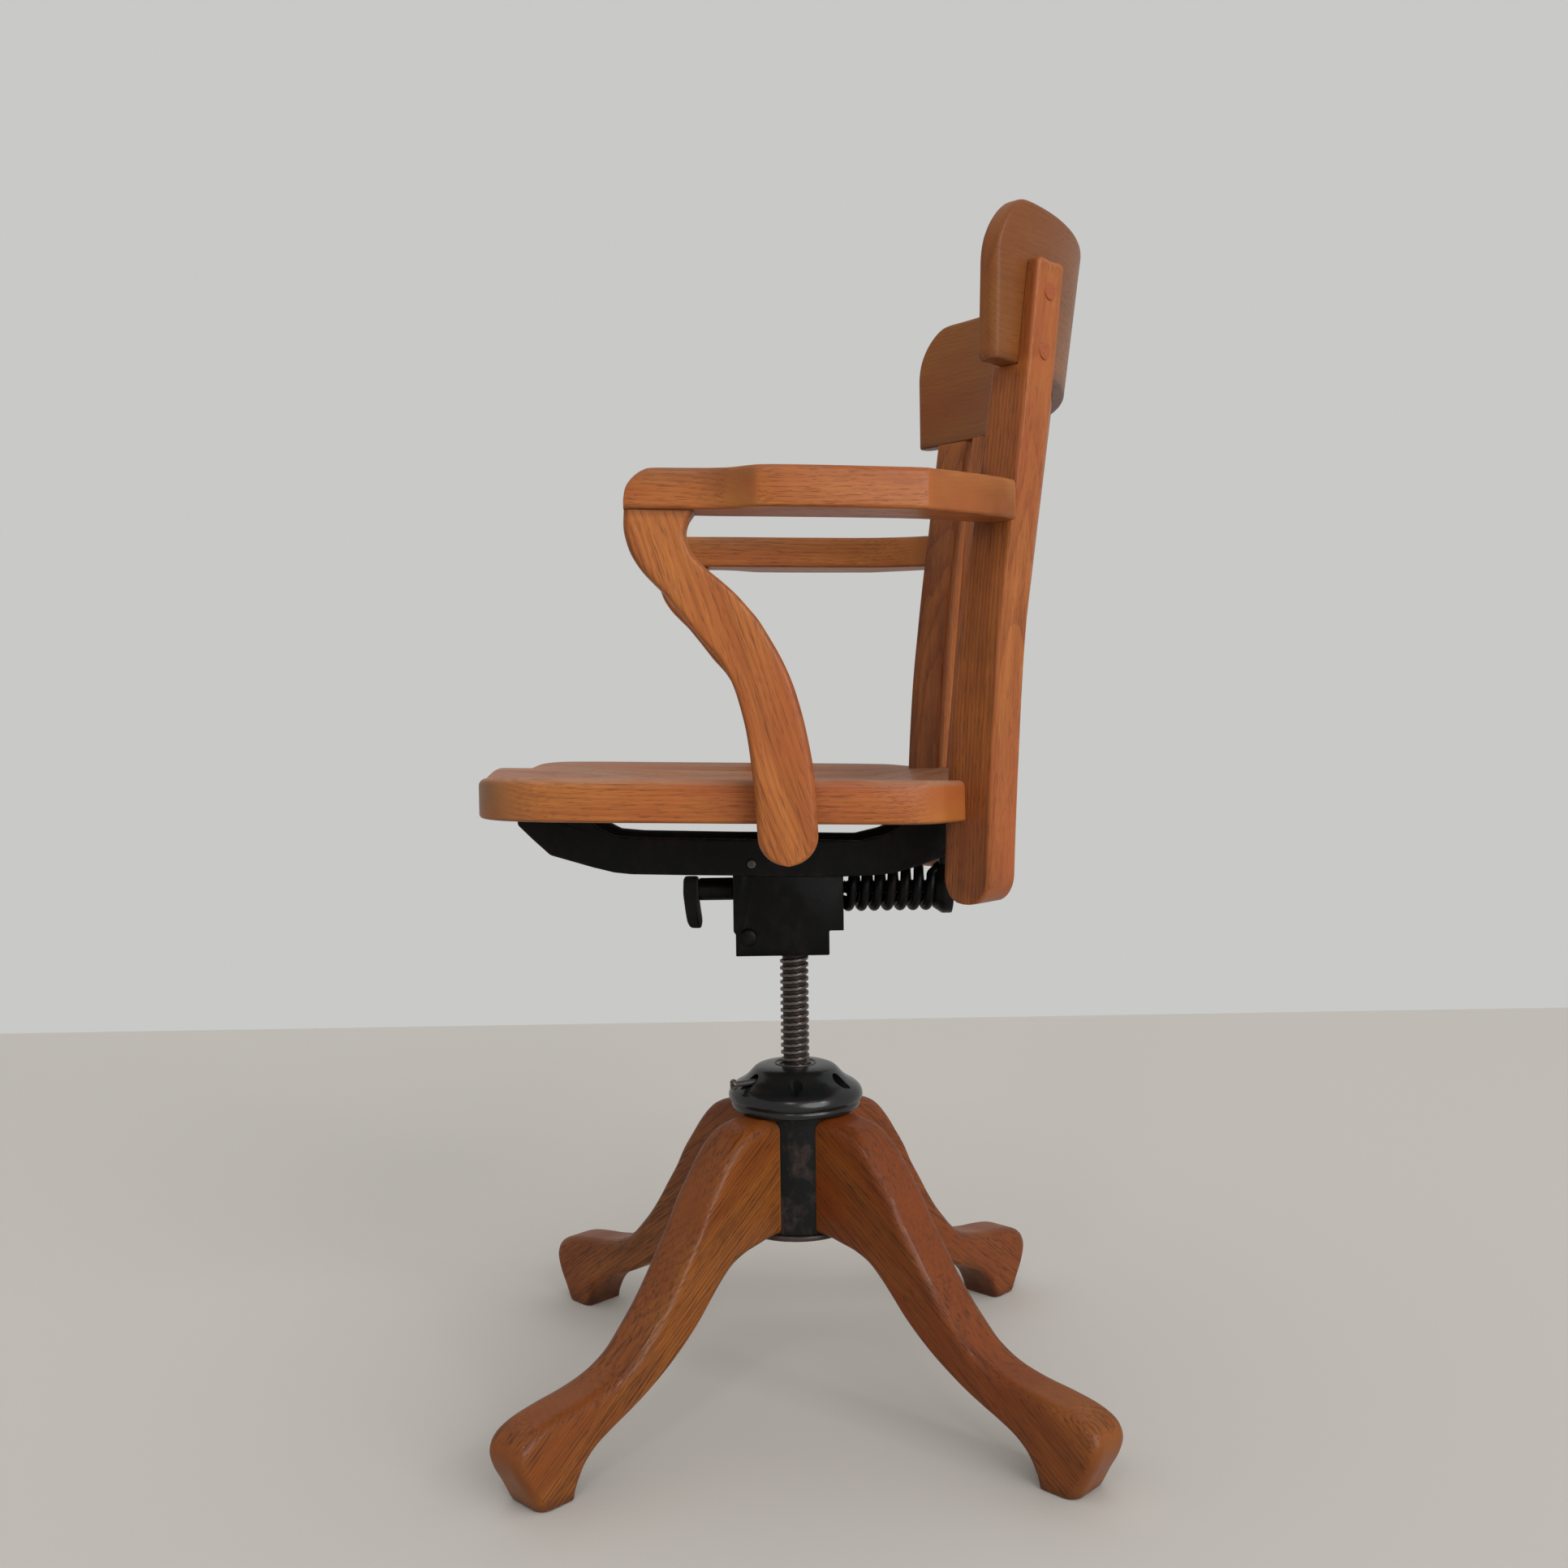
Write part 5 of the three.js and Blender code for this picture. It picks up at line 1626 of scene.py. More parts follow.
@dataclass
class SeatBoard:
    """The saddled seat, glued up from boards."""

    finishes: Finishes
    thickness: float = SEAT_THICKNESS
    half: float = 0.212
    front: float = -0.271
    rear: float = 0.207
    rear_bow: float = 0.049
    edge_round: float = 0.006
    under_round: float = 0.003
    dish: float = 0.015
    shares: Outline = (
        (0, 0), (0.19, 0.001), (0.36, 0.006), (0.52, 0.014), (0.71, 0.024), (0.84, 0.038),
        (0.93, 0.07), (0.98, 0.122), (1, 0.195), (1, 0.34), (1, 0.48), (1, 0.62), (0.992, 0.712),
        (0.974, 0.761), (0.933, 0.799), (0.866, 0.823), (0.78, 0.854), (0.7, 0.892), (0.6, 0.934),
        (0.45, 0.957), (0.24, 0.975), (0, 0.98),
    )

    def saddle(self, x: float, y: float) -> float:
        """How deep the saddle is at a point, with a ridge that rises towards the front."""

        def wide(share: float) -> float:
            """A share of the half width."""
            return share * self.half

        from_front = y - self.front
        from_side = self.half - abs(x) - wide(0.07)
        edge = lerp(self.front, self.rear, self.shares[-1][1])
        from_rear = edge - self.rear_bow * (x / self.half) ** 2 - y - wide(0.07)
        sides = smooth(from_side, 0, wide(0.36))
        rear = smooth(from_rear, 0, wide(0.43))
        front = lerp(0.35, 1, smooth(from_front, 0, wide(0.9)))
        across = math.exp(-((x / wide(0.24)) ** 2))
        along = 1 - smooth(from_front, wide(0.15), wide(0.95))
        return self.dish * sides * rear * front * (1 - across * along)

    def wear(self, p: Vector) -> float:
        """How far the top is greyed at a point, most along the saddle's rim: partly wear from sitting and
        partly a painted sheen of light off the top.
        """
        above = p.z - seat_floor(p.y) - self.thickness + self.saddle(p.x, p.y)
        return smooth(above, -0.006, -0.001) * lerp(0.75, 1.0, smooth(p.y, 0.0, 0.15))

    def build(self) -> None:
        """Builds and dresses the seat."""
        right = [Vector((x * self.half, lerp(self.front, self.rear, y), 0)) for x, y in self.shares]
        left = [Vector((-p.x, p.y, 0)) for p in reversed(right[1:-1])]
        rim = closed_curve([*right, *left], 240)
        middle = Vector((0, lerp(self.front, self.rear, 0.5), 0))

        def ring(share: float, height: Callable[[float, float], float], edge: float = 0.0) -> Ring:
            """The rim drawn in to a share of its size, at a height above the underside."""
            points = []
            for p in rim:
                q = middle.lerp(p, share)
                points.append(Vector((q.x, q.y, seat_floor(q.y) + height(q.x, q.y))))
            return Ring(points, [edge] * len(points))

        def top(x: float, y: float) -> float:
            """The height of the seat's top above its underside."""
            return self.thickness - self.saddle(x, y)

        r, under = self.edge_round, self.under_round
        rings = [ring(share, lambda x, y: 0.0) for share in (0.02, 0.5, 0.9)]
        turns = [k / 5 * math.pi / 2 for k in range(6)]
        for a in turns:
            inset, lift = under * (1 - math.sin(a)), under * (1 - math.cos(a))
            rings.append(ring(1 - inset / self.half, lambda x, y, lift=lift: lift, math.sin(2 * a)))
        rings.append(ring(1, lambda x, y: top(x, y) / 2))
        for a in turns:
            inset, drop = r * (1 - math.cos(a)), r * (1 - math.sin(a))
            rings.append(
                ring(1 - inset / self.half, lambda x, y, drop=drop: top(x, y) - drop, math.sin(2 * a))
            )
        inner = 1 - r / self.half
        rings += [ring(inner * (1 - k / 44), top) for k in range(1, 44)]
        board = Board(Vector((0, 1, 0)), Vector((0.1, 0, 1)), 11)
        piece = rubbed(skin("seat_oak", rings, board), self.wear)

        def grime_and_shade(p: Vector, normal: Vector) -> float:
            """How dark the seat is: darker along its front edge, and painted shade on its underside."""
            edge = 1 - smooth(normal.z, 0.3, 0.8)
            front = 0.75 * (1 - smooth(p.y, -0.268, -0.2)) + 0.15 * (1 - smooth(p.y, -0.22, -0.13))
            return edge * front + 0.35 * smooth(-normal.z, 0.3, 0.9)

        grimed_and_shaded(piece, grime_and_shade)
        dress(piece, self.finishes.seat_oak, Body.SEAT, Slot.OAK_SEAT, "seat_board")


@dataclass
class Arms:
    """The shaped arms on their curved supports."""

    finishes: Finishes
    underside: float = 0.7714
    rise: float = 0.0185
    thickness: float = 0.0313
    length: float = 0.299
    inner: float = 0.205
    swell: float = 0.065
    edge_round: float = 0.005
    front: float = -0.131
    reach: float = 0.144
    support_foot: float = 0.503
    support_inner: float = 0.2123
    support_thickness: float = 0.032
    gap: float = 0.0003
    arm: Rows = (
        (0, 0.6, 0.11, 0.3), (0.004, 0.612, 0.095, 0.5), (0.013, 0.623, 0.085, 0.66),
        (0.03, 0.632, 0.075, 0.83), (0.053, 0.641, 0.062, 0.96), (0.077, 0.648, 0.05, 1),
        (0.154, 0.662, 0.023, 1), (0.231, 0.692, 0, 1), (0.272, 0.755, 0, 1), (0.318, 0.915, 0, 1),
        (0.35, 0.985, 0, 1), (0.42, 1, 0, 1), (0.555, 0.962, -0.01, 1), (0.689, 0.905, -0.035, 1),
        (0.752, 0.868, -0.07, 1), (0.776, 0.81, -0.09, 1), (0.873, 0.50, -0.22, 1),
        (0.94, 0.25, -0.36, 1), (0.985, 0.02, -0.45, 1),
    )
    support: Rows = (
        (0, 1, 0.368, 1), (-0.003, 0.955, 0.33, 0.967), (0.007, 0.92, 0.323, 0.93),
        (0.035, 0.877, 0.354, 0.885), (0.083, 0.836, 0.417, 0.845), (0.146, 0.8, 0.507, 0.805),
        (0.208, 0.767, 0.583, 0.768), (0.257, 0.735, 0.646, 0.73), (0.309, 0.7, 0.697, 0.697),
        (0.389, 0.645, 0.757, 0.645), (0.479, 0.59, 0.819, 0.585), (0.549, 0.525, 0.875, 0.515),
        (0.59, 0.46, 0.917, 0.44), (0.625, 0.38, 0.951, 0.36), (0.649, 0.285, 0.979, 0.27),
        (0.667, 0.18, 0.993, 0.17), (0.677, 0.0866, 1, 0.0866),
    )

    def floor(self, y: float) -> float:
        """The height of the arm's underside at a depth."""
        return self.underside - self.rise * y

    def build(self) -> None:
        """Builds and dresses both arms and both supports."""
        for side, word in ((1, "left"), (-1, "right")):
            piece = self.arm_piece(side, f"arm_{word}")
            dress(piece, self.finishes.arm_oak, Body.SEAT, Slot.OAK_FRAME, f"arm_{word}")
            piece = self.support_piece(side, f"arm_support_{word}")
            dress(piece, self.finishes.frame_oak, Body.SEAT, Slot.OAK_FRAME, f"arm_support_{word}")

    def arm_piece(self, side: int, name: str) -> Piece:
        """One arm, lofted along its length."""
        rings = []
        for share, outer, inner, high in stations(self.arm, 120):
            y = self.front + share * self.length
            slant = smooth(share, 0.75, 1) * 0.05 * self.length
            x0, x1 = (side * (self.inner + share * self.swell) for share in (inner, outer))
            y0, y1 = y - slant / 2, y + slant / 2
            up = Vector((0, 0, high * self.thickness))
            near, far = Vector((x0, y0, self.floor(y0))), Vector((x1, y1, self.floor(y1)))
            corners = [near, far, far + up, near + up]
            under = self.edge_round / 2
            rings.append(rounded(corners, (under, under, self.edge_round, self.edge_round)))
        rings.insert(0, rings[0].moved(Vector((0, 0.0004, 0)), 0.004, 0.3))
        board = Board(Vector((0, 1, -0.02)), Vector((0.35, 0, 1)), 21 + side, tone=-0.1 * side)

        def wear(p: Vector) -> float:
            """How far hands have rubbed the arm's front and top."""
            high = smooth(p.z - self.floor(p.y), 0.5 * self.thickness, self.thickness)
            return high * (1 - smooth(p.y, -0.06, 0.06))

        def grime_and_shade(p: Vector, normal: Vector) -> float:
            """How dark the arm is: painted shade in its hollow outer side, under its front and at its rear
            end against the post, and darker on its outer rear facet.
            """
            outer = smooth(side * normal.x, 0.2, 0.8)
            hollow = 0.6 * smooth(p.y, -0.085, -0.055) * (1 - smooth(p.y, -0.036, -0.028)) * outer
            foot = 0.5 * (1 - smooth(p.z - self.floor(p.y), 0.0, 0.005)) * (1 - smooth(p.y, -0.09, -0.07))
            facet = 0.45 * smooth(p.y, 0.094, 0.104) * outer
            return hollow + foot + facet + 0.3 * smooth(p.y, 0.128, 0.145)

        return grimed_and_shaded(rubbed(skin(name + "_oak", rings, board), wear), grime_and_shade)

    def support_piece(self, side: int, name: str) -> Piece:
        """One support, lofted from the arm down to its rounded foot."""
        rows = []
        for y0, z0, y1, z1 in stations(self.support, 110):
            a, b = self.front + y0 * self.reach, self.front + y1 * self.reach
            rows.append((a, self.lift(a, z0), b, self.lift(b, z1)))
        front, low0, rear, low1 = rows[-1]
        radius, centre, level = (rear - front) / 2, (front + rear) / 2, (low0 + low1) / 2
        for k in range(1, 13):
            angle = k / 12 * 1.5
            y, z = radius * math.cos(angle), level - radius * math.sin(angle)
            rows.append((centre - y, z, centre + y, z))
        x0, x1 = side * self.support_inner, side * (self.support_inner + self.support_thickness)
        rings = []
        for a, za, b, zb in rows:
            steps = ((x0, a, za), (x1, a, za), (x1, b, zb), (x0, b, zb))
            rings.append(rounded([Vector(step) for step in steps], [self.edge_round] * 4))
        board = Board(Vector((0, -0.3, 0.95)), Vector((1, 0, 0)), 31 + side, tone=-0.1)

        def grime_and_shade(p: Vector, normal: Vector) -> float:
            """The painted shade on the support just under the arm."""
            return 0.5 * smooth(p.z - self.floor(p.y), -0.008, -0.001)

        return grimed_and_shaded(skin(name + "_oak", rings, board), grime_and_shade)

    def lift(self, y: float, share: float) -> float:
        """The height of a share of the way from the support's foot to the arm."""
        return self.support_foot + share * (self.floor(y) - self.gap - self.support_foot)


@dataclass
class Back:
    """The bent crest on two leaning posts, with nine slats."""

    finishes: Finishes
    gap: float = 0.0003
    post_x: float = 0.1805
    post_y: float = 0.1518
    post_spread: float = 0.0223
    post_lean: float = 0.0396
    post_foot: float = 0.462
    post_top: float = 0.972
    foot_round: float = 0.023
    foot_narrow: float = 0.39
    post_width: float = 0.038
    post_thickness: float = 0.041
    post_angle: float = math.radians(42)
    post_round: float = 0.0035
    post_top_round: float = 0.0045
    arm_level: float = 0.786
    arm_rear: float = 0.150
    crest_radius: float = 0.302
    crest_thickness: float = 0.018
    crest_bottom: float = 0.891
    crest_height: float = 0.125
    crest_centre: float = -0.0571
    crest_lean: float = 0.0159
    crest_tip_round: float = 0.008
    crest_tip: float = 0.1545
    crest_aim: float = 0.1285
    crest_corner_run: float = 0.055
    crest_corner_drop: float = 0.060
    crest_ease: float = 0.0015
    crest_round: float = 0.005
    crest_under: float = 0.0025
    crest_steps: int = 160
    slats: int = 9
    slat_width: float = 0.020
    slat_thickness: float = 0.008
    slat_head_radius: float = 0.2885
    slat_round: float = 0.0022
    slat_pitch: float = math.radians(7.15)
    slat_foot_radius: float = 0.231
    slat_foot_y: float = 0.190
    slat_spread: float = 0.98
    tenon: float = 0.012
    plug: float = 0.008
    plug_shares: tuple[float, float] = (0.865, 0.955)
    post: Rows = (
        (0, 0, 0, 1.09), (0.08, 0.058, 0.025, 1.09), (0.225, 0.247, 0.088, 1.07),
        (0.365, 0.435, 0.177, 1.02), (0.465, 0.56, 0.278, 0.97), (0.56, 0.673, 0.404, 0.945),
        (0.66, 0.785, 0.556, 0.92), (0.76, 0.865, 0.697, 0.89), (0.86, 0.933, 0.836, 0.855),
        (0.95, 0.978, 0.944, 0.83), (1, 1, 1, 0.82),
    )

    def build(self) -> None:
        """Builds and dresses the posts, the crest, the plugs and the slats."""
        for side, word in ((1, "left"), (-1, "right")):
            piece = self.post_piece(side, f"back_post_{word}")
            dress(piece, self.finishes.frame_oak, Body.SEAT, Slot.OAK_FRAME, f"back_post_{word}")
        dress(self.crest(), self.finishes.crest_oak, Body.SEAT, Slot.OAK_FRAME, "crest_rail")
        names = [f"back_slat_{i + 1}" for i in range(self.slats)]
        dress(self.slat_set(), self.finishes.frame_oak, Body.SEAT, Slot.OAK_FRAME, *names)
        dress(self.plugs(), self.finishes.frame_oak, Body.SEAT, Slot.OAK_FRAME)

    def post_corners(self, share: float, narrowing: float) -> list[Vector]:
        """The section's corners: front-outer, front-inner, rear-inner and rear-outer."""
        spread, lean, thick = (hermite(self.post, k, share) for k in (1, 2, 3))
        x, y = self.post_x + spread * self.post_spread, self.post_y + lean * self.post_lean
        outer = Vector((x, y, lerp(self.post_foot, self.post_top, share)))
        across, through = self.post_axes()
        depth = thick * self.post_thickness
        shrink = narrowing * depth
        width = self.post_width * lerp(1.06, 1.0, smooth(share, 0.2, 0.6))
        steps = ((0, shrink), (0, depth - shrink), (width, depth - shrink), (width, shrink))
        return [outer + across * a + through * t for a, t in steps]

    def post_axes(self) -> tuple[Vector, Vector]:
        """The directions across a post's broad face and through the post."""
        c, s = math.cos(self.post_angle), math.sin(self.post_angle)
        return Vector((-c, s, 0)), Vector((-s, -c, 0))

    def crest_middle(self, z: float) -> float:
        """The Y of the crest's centre at a height."""
        return self.crest_centre + self.crest_lean * (z - self.crest_bottom) / self.crest_height

    def outside_crest(self, p: Vector) -> Vector:
        """A post's point, moved out of the crest's room."""
        centre = self.crest_middle(p.z)
        away = Vector((p.x, p.y - centre, 0))
        least = self.crest_radius + self.gap
        if away.length >= least:
            return p
        away.length = least
        return Vector((away.x, away.y + centre, p.z))

    def post_piece(self, side: int, name: str) -> Piece:
        """One post, with a rounded foot and a seat for the crest."""
        lead = self.foot_round / (self.post_top - self.post_foot)
        notch = (self.crest_bottom - self.gap - self.post_foot) / (self.post_top - self.post_foot)
        shares = [(k / 8) ** 1.5 * lead for k in range(8)]
        shares += [lerp(lead, notch, k / 48) for k in range(48)]
        shares += [notch, *(lerp(notch, 1, k / 12) for k in range(13))]
        rings = []
        for i, share in enumerate(shares):
            below = 1 - min(1.0, share / lead)
            narrowing = self.foot_narrow * (1 - math.sqrt(1 - below**2))
            ring = rounded(self.post_corners(share, narrowing), [self.post_round] * 4)
            if i >= len(shares) - 13:
                ring.points = [self.outside_crest(p) for p in ring.points]
            rings.append(ring)
        top = rings[-1]
        turn = self.post_top_round
        rings[-1] = top.moved(Vector((0, 0, -turn)), 0.0, 0.2)
        for k in (1, 2, 3, 4):
            angle = k / 4 * math.pi / 2
            shift = Vector((0, 0, -turn * (1 - math.sin(angle))))
            rings.append(top.moved(shift, turn * (1 - math.cos(angle)), math.sin(angle * 2)))
        for ring in rings:
            ring.points = [Vector((side * p.x, p.y, p.z)) for p in ring.points]
        _, through = self.post_axes()
        along = Vector((side * self.post_spread, self.post_lean, self.post_top - self.post_foot))
        board = Board(along, Vector((side * through.x, through.y, 0.2)), 41 + side, tone=0.4 * side - 0.25)

        def grime_and_shade(p: Vector, normal: Vector) -> float:
            """How dark the post is: its front faces partly stained and partly in painted shade, a painted
            shadow where the arm meets it, and darker towards its foot.
            """
            front = 0.62 * smooth(-normal.y, 0.1, 0.7) * lerp(1.0, 0.6, smooth(p.z, 0.6, 0.85))
            level = 1 - smooth(abs(p.z - self.arm_level), 0.015, 0.035)
            joint = 0.5 * level * (1 - smooth(p.y - self.arm_rear, 0.0, 0.01))
            return front + joint + 0.25 * (1 - smooth(p.z, self.post_foot, self.post_foot + 0.05))

        return grimed_and_shaded(skin(name + "_oak", rings, board), grime_and_shade)

    def crest(self) -> Piece:
        """The crest, bent on a leaning arc, with rounded upper corners."""
        rings = []
        crown = self.crest_bottom + self.crest_height
        length = self.tip_angle(crown) * self.crest_radius
        turn = self.crest_tip_round
        radii = (self.crest_under, self.crest_under, self.crest_round, self.crest_round)
        tips = [1 - turn * (1 - math.cos(k / 8 * math.pi / 2)) / length for k in range(8)]
        count = self.crest_steps
        evens = [lerp(-tips[-1], tips[-1], i / count) for i in range(1, count)]
        for share in [*(-s for s in tips), *evens, *reversed(tips)]:
            from_end = (1 - abs(share)) * length
            inside = max(0.0, 1 - from_end / self.crest_corner_run)
            drop = self.crest_corner_drop * (1 - math.sqrt(max(0.0, 1 - inside**2)))
            over = (self.crest_aim - self.crest_height - drop) / self.crest_ease
            top = crown - self.crest_ease * math.log1p(math.exp(-over))
            tip = max(0.0, 1 - from_end / turn)
            inset = turn * (1 - math.sqrt(1 - tip**2))
            inner = self.crest_radius - self.crest_thickness + 0.3 * inset
            outer = self.crest_radius - inset
            steps = ((inner, self.crest_bottom), (outer, self.crest_bottom), (outer, top), (inner, top))
            corners = [self.on_crest(share * self.tip_angle(z), radius, z) for radius, z in steps]
            rings.append(rounded(corners, radii))
        rings = round_ends(rings, self.crest_round * 0.4)
        piece = skin("crest_oak", rings, Board(Vector((1, 0, 0)), Vector((0, 0, 1)), 51), self.crest_grain)

        def grime_and_shade(p: Vector, normal: Vector) -> float:
            """How dark the crest is along its lower edge and on its outer face."""
            away = Vector((p.x, p.y - self.crest_middle(p.z), 0)).normalized()
            outer = smooth(normal.dot(away), 0.2, 0.8)
            return 0.3 * outer + 0.6 * (1 - smooth(p.z - self.crest_bottom, 0.002, 0.012))

        return grimed_and_shaded(piece, grime_and_shade)

    def tip_angle(self, z: float) -> float:
        """The angle of the upright cut at the crest's tips, at a height."""
        return math.acos((self.crest_tip - self.crest_middle(z)) / self.crest_radius)

    def on_crest(self, angle: float, radius: float, z: float) -> Vector:
        """A point of the crest from its angle, radius and height."""
        return Vector((radius * math.sin(angle), self.crest_middle(z) + radius * math.cos(angle), z))

    def crest_grain(self, ring: int, p: Vector) -> Vector:
        """Where a point of the bent crest lies in its log."""
        away = Vector((p.x, p.y - self.crest_middle(p.z)))
        angle = math.atan2(away.x, away.y)
        height = p.z - self.crest_bottom
        depth = away.length - self.crest_radius
        return Vector((3.7 + angle * self.crest_radius, 0.05 + height, depth + 0.11))

    def slat_ends(self, index: int) -> tuple[Vector, Vector, float]:
        """A slat's lower end, upper end and turn about Z."""
        angle = (index - (self.slats - 1) / 2) * self.slat_pitch
        head_z = self.crest_bottom + self.tenon
        head = self.on_crest(angle, self.slat_head_radius, head_z)
        foot_angle = angle * self.slat_spread
        y = self.slat_foot_y - self.slat_foot_radius + self.slat_foot_radius * math.cos(foot_angle)
        z = seat_floor(y) + SEAT_THICKNESS - self.tenon
        return Vector((self.slat_foot_radius * math.sin(foot_angle), y, z)), head, angle

    def slat_set(self) -> Piece:
        """The slats, one master instanced between the seat and the crest."""
        ends = [self.slat_ends(i) for i in range(self.slats)]
        mesh = bpy.data.meshes.new("slat_points")
        mesh.from_pydata([foot for foot, _, _ in ends], [], [])
        stored_vectors(mesh, "aim", [head - foot for foot, head, _ in ends])
        stored(mesh, "turn", [-turn for _, _, turn in ends])
        piece = shown("back_slats", mesh)
        w, t = self.slat_width / 2, self.slat_thickness / 2
        corners = ((-w, -t), (w, -t), (w, t), (-w, t))
        section = [rounded([Vector((x, y, z)) for x, y in corners], [self.slat_round] * 4) for z in (0, 1)]
        master = skin("slat_master", section)
        tree = GeometryTree("slats between rails")
        aim = tree.node("GeometryNodeInputNamedAttribute", {"data_type": "FLOAT_VECTOR"}, {"Name": "aim"})
        turn = tree.node("GeometryNodeInputNamedAttribute", {"data_type": "FLOAT"}, {"Name": "turn"})
        length = tree.node("ShaderNodeVectorMath", {"operation": "LENGTH"}, {0: aim}, "Value")
        upright = tree.node("FunctionNodeAlignRotationToVector", {"axis": "Z"}, {"Vector": aim})
        local = {"rotation_space": "LOCAL"}
        rotation = tree.node("FunctionNodeRotateRotation", local, {0: upright, 1: tree.spun(turn)})
        scale = tree.node("ShaderNodeCombineXYZ", {}, {"X": 1.0, "Y": 1.0, "Z": length})
        slats = tree.instanced(master, {"Rotation": rotation, "Scale": scale})
        tree.run(piece, slats, self.finishes.frame_oak)
        bpy.data.objects.remove(master)
        self.saw_slats(piece.data, ends)
        return piece

    def saw_slats(self, mesh: Mesh, ends: Sequence[tuple[Vector, Vector, float]]) -> None:
        """Gives each slat its own place in a log and its own tone."""
        each = len(mesh.vertices) // self.slats
        grain, tone = [], []
        for i, vertex in enumerate(mesh.vertices):
            index = min(i // each, self.slats - 1)
            foot, head, turn = ends[index]
            board = Board(head - foot, Vector((math.sin(turn), math.cos(turn), 0)), 61 + 3 * index)
            grain.append(board.grain(vertex.co))
            tone.append(0.6 * math.sin(2.3 * index + 0.7))
        for name in ("grain", "tone"):
            if name in mesh.attributes:
                mesh.attributes.remove(mesh.attributes[name])
        stored_vectors(mesh, "grain", grain)
        stored(mesh, "tone", tone)

    def plugs(self) -> Piece:
        """The round plugs over the screws that hold the crest to the posts."""
        _, through = self.post_axes()
        turn = (-through).to_track_quat("Z", "Y").to_matrix().to_4x4()
        pieces = []
        for side in (1, -1):
            for share in self.plug_shares:
                corners = self.post_corners(share, 0.0)
                place = Matrix.Translation(corners[0].lerp(corners[3], 0.5)) @ turn
                piece = turned("plug", dowel(self.plug, -0.004, 0.0004), 0.0005, place, sides=40)
                for v in piece.data.vertices:
                    v.co.x *= side
                board = Board(Vector((0.3 * side, 1, 0.2)), Vector((0, 0, 1)), 81 + side)
                stored_vectors(piece.data, "grain", [board.grain(v.co) for v in piece.data.vertices])
                stored(piece.data, "tone", [0.8] * len(piece.data.vertices))
                outward(piece.data)
                pieces.append(piece)
        return joined("crest_plugs", pieces)


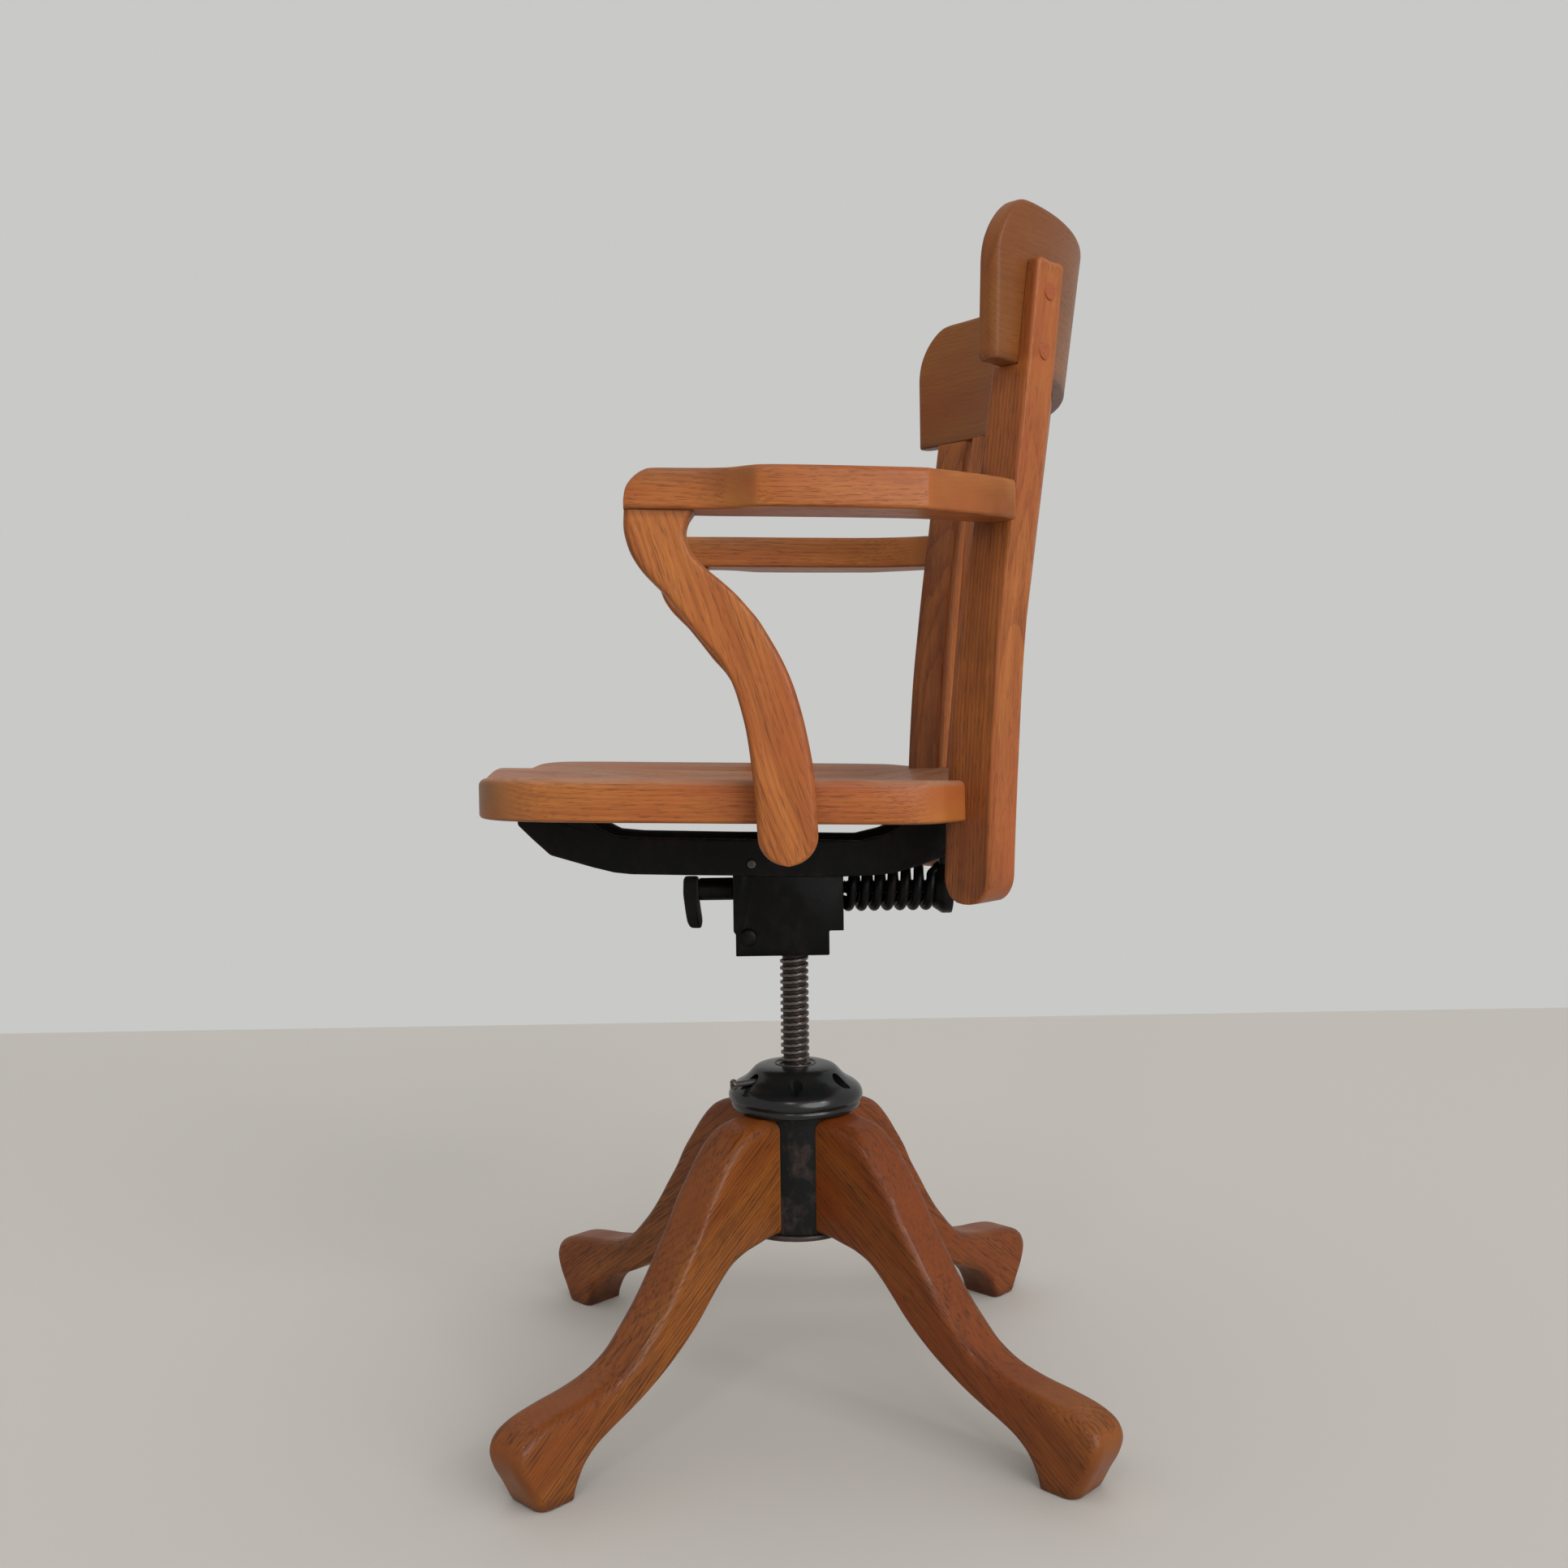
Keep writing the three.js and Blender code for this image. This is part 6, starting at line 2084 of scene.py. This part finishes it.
@dataclass
class Studio:
    """The floor, the light and the camera of the picture."""

    lens: float = 35.41
    place: tuple[float, float, float] = (1.41109, -0.03943, 0.62)
    pitch: float = math.radians(2.6535)
    yaw: float = math.radians(1.3033)
    roll: float = math.radians(-0.69515)
    floor: Colour = (0.50, 0.476, 0.442)
    wall: Colour = (0.584, 0.584, 0.571)
    floor_size: float = 6.0
    wall_line: float = -1.67
    middle: tuple[float, float, float] = (0, 0, 0.5)
    sky: float = 0.48

    def build(self) -> None:
        """Sets up the whole studio."""
        self.set_camera()
        self.set_world()
        self.lay_floor()
        self.sun("daylight", (0.79, 0.50, 0.34), 45.0, 1.75)
        self.sun("ceiling", (0.0, 0.1, 1.0), 120.0, 1.1, glossy=False)
        self.area("window", (1.5, 1.9, 1.9), 0.22, 4.5)
        self.area("lamp", (1.9, -0.4, 2.1), 0.25, 4.0)

    def set_camera(self) -> None:
        """Places the camera as the photograph was taken."""

        def swung(a: Vector, b: Vector, angle: float) -> tuple[Vector, Vector]:
            """Two upright directions, turned from the first towards the second."""
            c, s = math.cos(angle), math.sin(angle)
            return a * c + b * s, b * c - a * s

        forward, right, up = Vector((-1, 0, 0)), Vector((0, 1, 0)), Vector((0, 0, 1))
        forward, right = swung(forward, right, self.yaw)
        up, forward = swung(up, forward, self.pitch)
        right, up = swung(right, up, self.roll)
        data = bpy.data.cameras.new("camera")
        data.lens = self.lens
        data.sensor_width = 36.0
        camera = bpy.data.objects.new("camera", data)
        turn = Matrix((right, up, -forward)).transposed().to_4x4()
        camera.matrix_world = Matrix.Translation(Vector(self.place)) @ turn
        bpy.context.scene.collection.objects.link(camera)
        bpy.context.scene.camera = camera
        bpy.context.scene.view_settings.view_transform = "Standard"

    def set_world(self) -> None:
        """Gives the world one light for the part and one colour for the background."""
        world = bpy.data.worlds.new("studio")
        t = ShaderTree(world)
        light = t.node("Background", {}, {"Color": (1.0, 0.99, 0.97, 1.0), "Strength": self.sky})
        seen = t.node("Background", {}, {"Color": (*self.wall, 1.0)})
        camera = t.node("LightPath", {}, {}, "Is Camera Ray")
        t.node("OutputWorld", {}, {"Surface": t.node("MixShader", {}, {0: camera, 1: light, 2: seen})})
        bpy.context.scene.world = world

    def lay_floor(self) -> None:
        """Lays a wide, plain floor."""
        size, back = self.floor_size, self.wall_line
        mesh = bpy.data.meshes.new("floor")
        corners = [(back, -size, 0), (size, -size, 0), (size, size, 0), (back, size, 0)]
        mesh.from_pydata(corners, [], [(0, 1, 2, 3)])
        t = ShaderTree(bpy.data.materials.new("plain floor"))
        look = {"Base Color": (*self.floor, 1.0), "Roughness": 0.75, "Specular IOR Level": 0.3}
        mesh.materials.append(t.finish(look))
        floor = shown("floor", mesh)

    @staticmethod
    def lamp(name: str, kind: str, power: float, turn: Quaternion) -> Piece:
        """Adds a light of a kind, with its power and turn."""
        data = bpy.data.lights.new(name, kind)
        data.energy = power
        lamp = bpy.data.objects.new(name, data)
        lamp.rotation_euler = turn.to_euler()
        bpy.context.scene.collection.objects.link(lamp)
        return lamp

    def sun(
        self, name: str, towards: Sequence[float], spread: float, strength: float, glossy: bool = True
    ) -> None:
        """Adds soft daylight that comes from a direction, spread over some degrees."""
        lamp = self.lamp(name, "SUN", strength, Vector(towards).to_track_quat("Z", "Y"))
        lamp.data.angle = math.radians(spread)
        lamp.visible_glossy = glossy

    def area(self, name: str, place: Sequence[float], size: float, power: float) -> None:
        """Adds a soft square light that looks at the chair's middle."""
        aim = Vector(self.middle) - Vector(place)
        lamp = self.lamp(name, "AREA", power, aim.to_track_quat("-Z", "Y"))
        lamp.data.size = size
        lamp.location = place


def main() -> None:
    """Builds every sub-assembly, then the studio."""
    logging.basicConfig(level=logging.INFO, format="%(name)s: %(message)s")
    finishes = Finishes()
    assemblies = (Base, Collar, Spindle, Tension, Spring, SeatIrons, SeatBoard, Arms, Back)
    for assembly in assemblies:
        assembly(finishes).build()
    Studio().build()
    LOG.info("built %d sub-assemblies", len(assemblies))


if __name__ == "__main__":
    main()
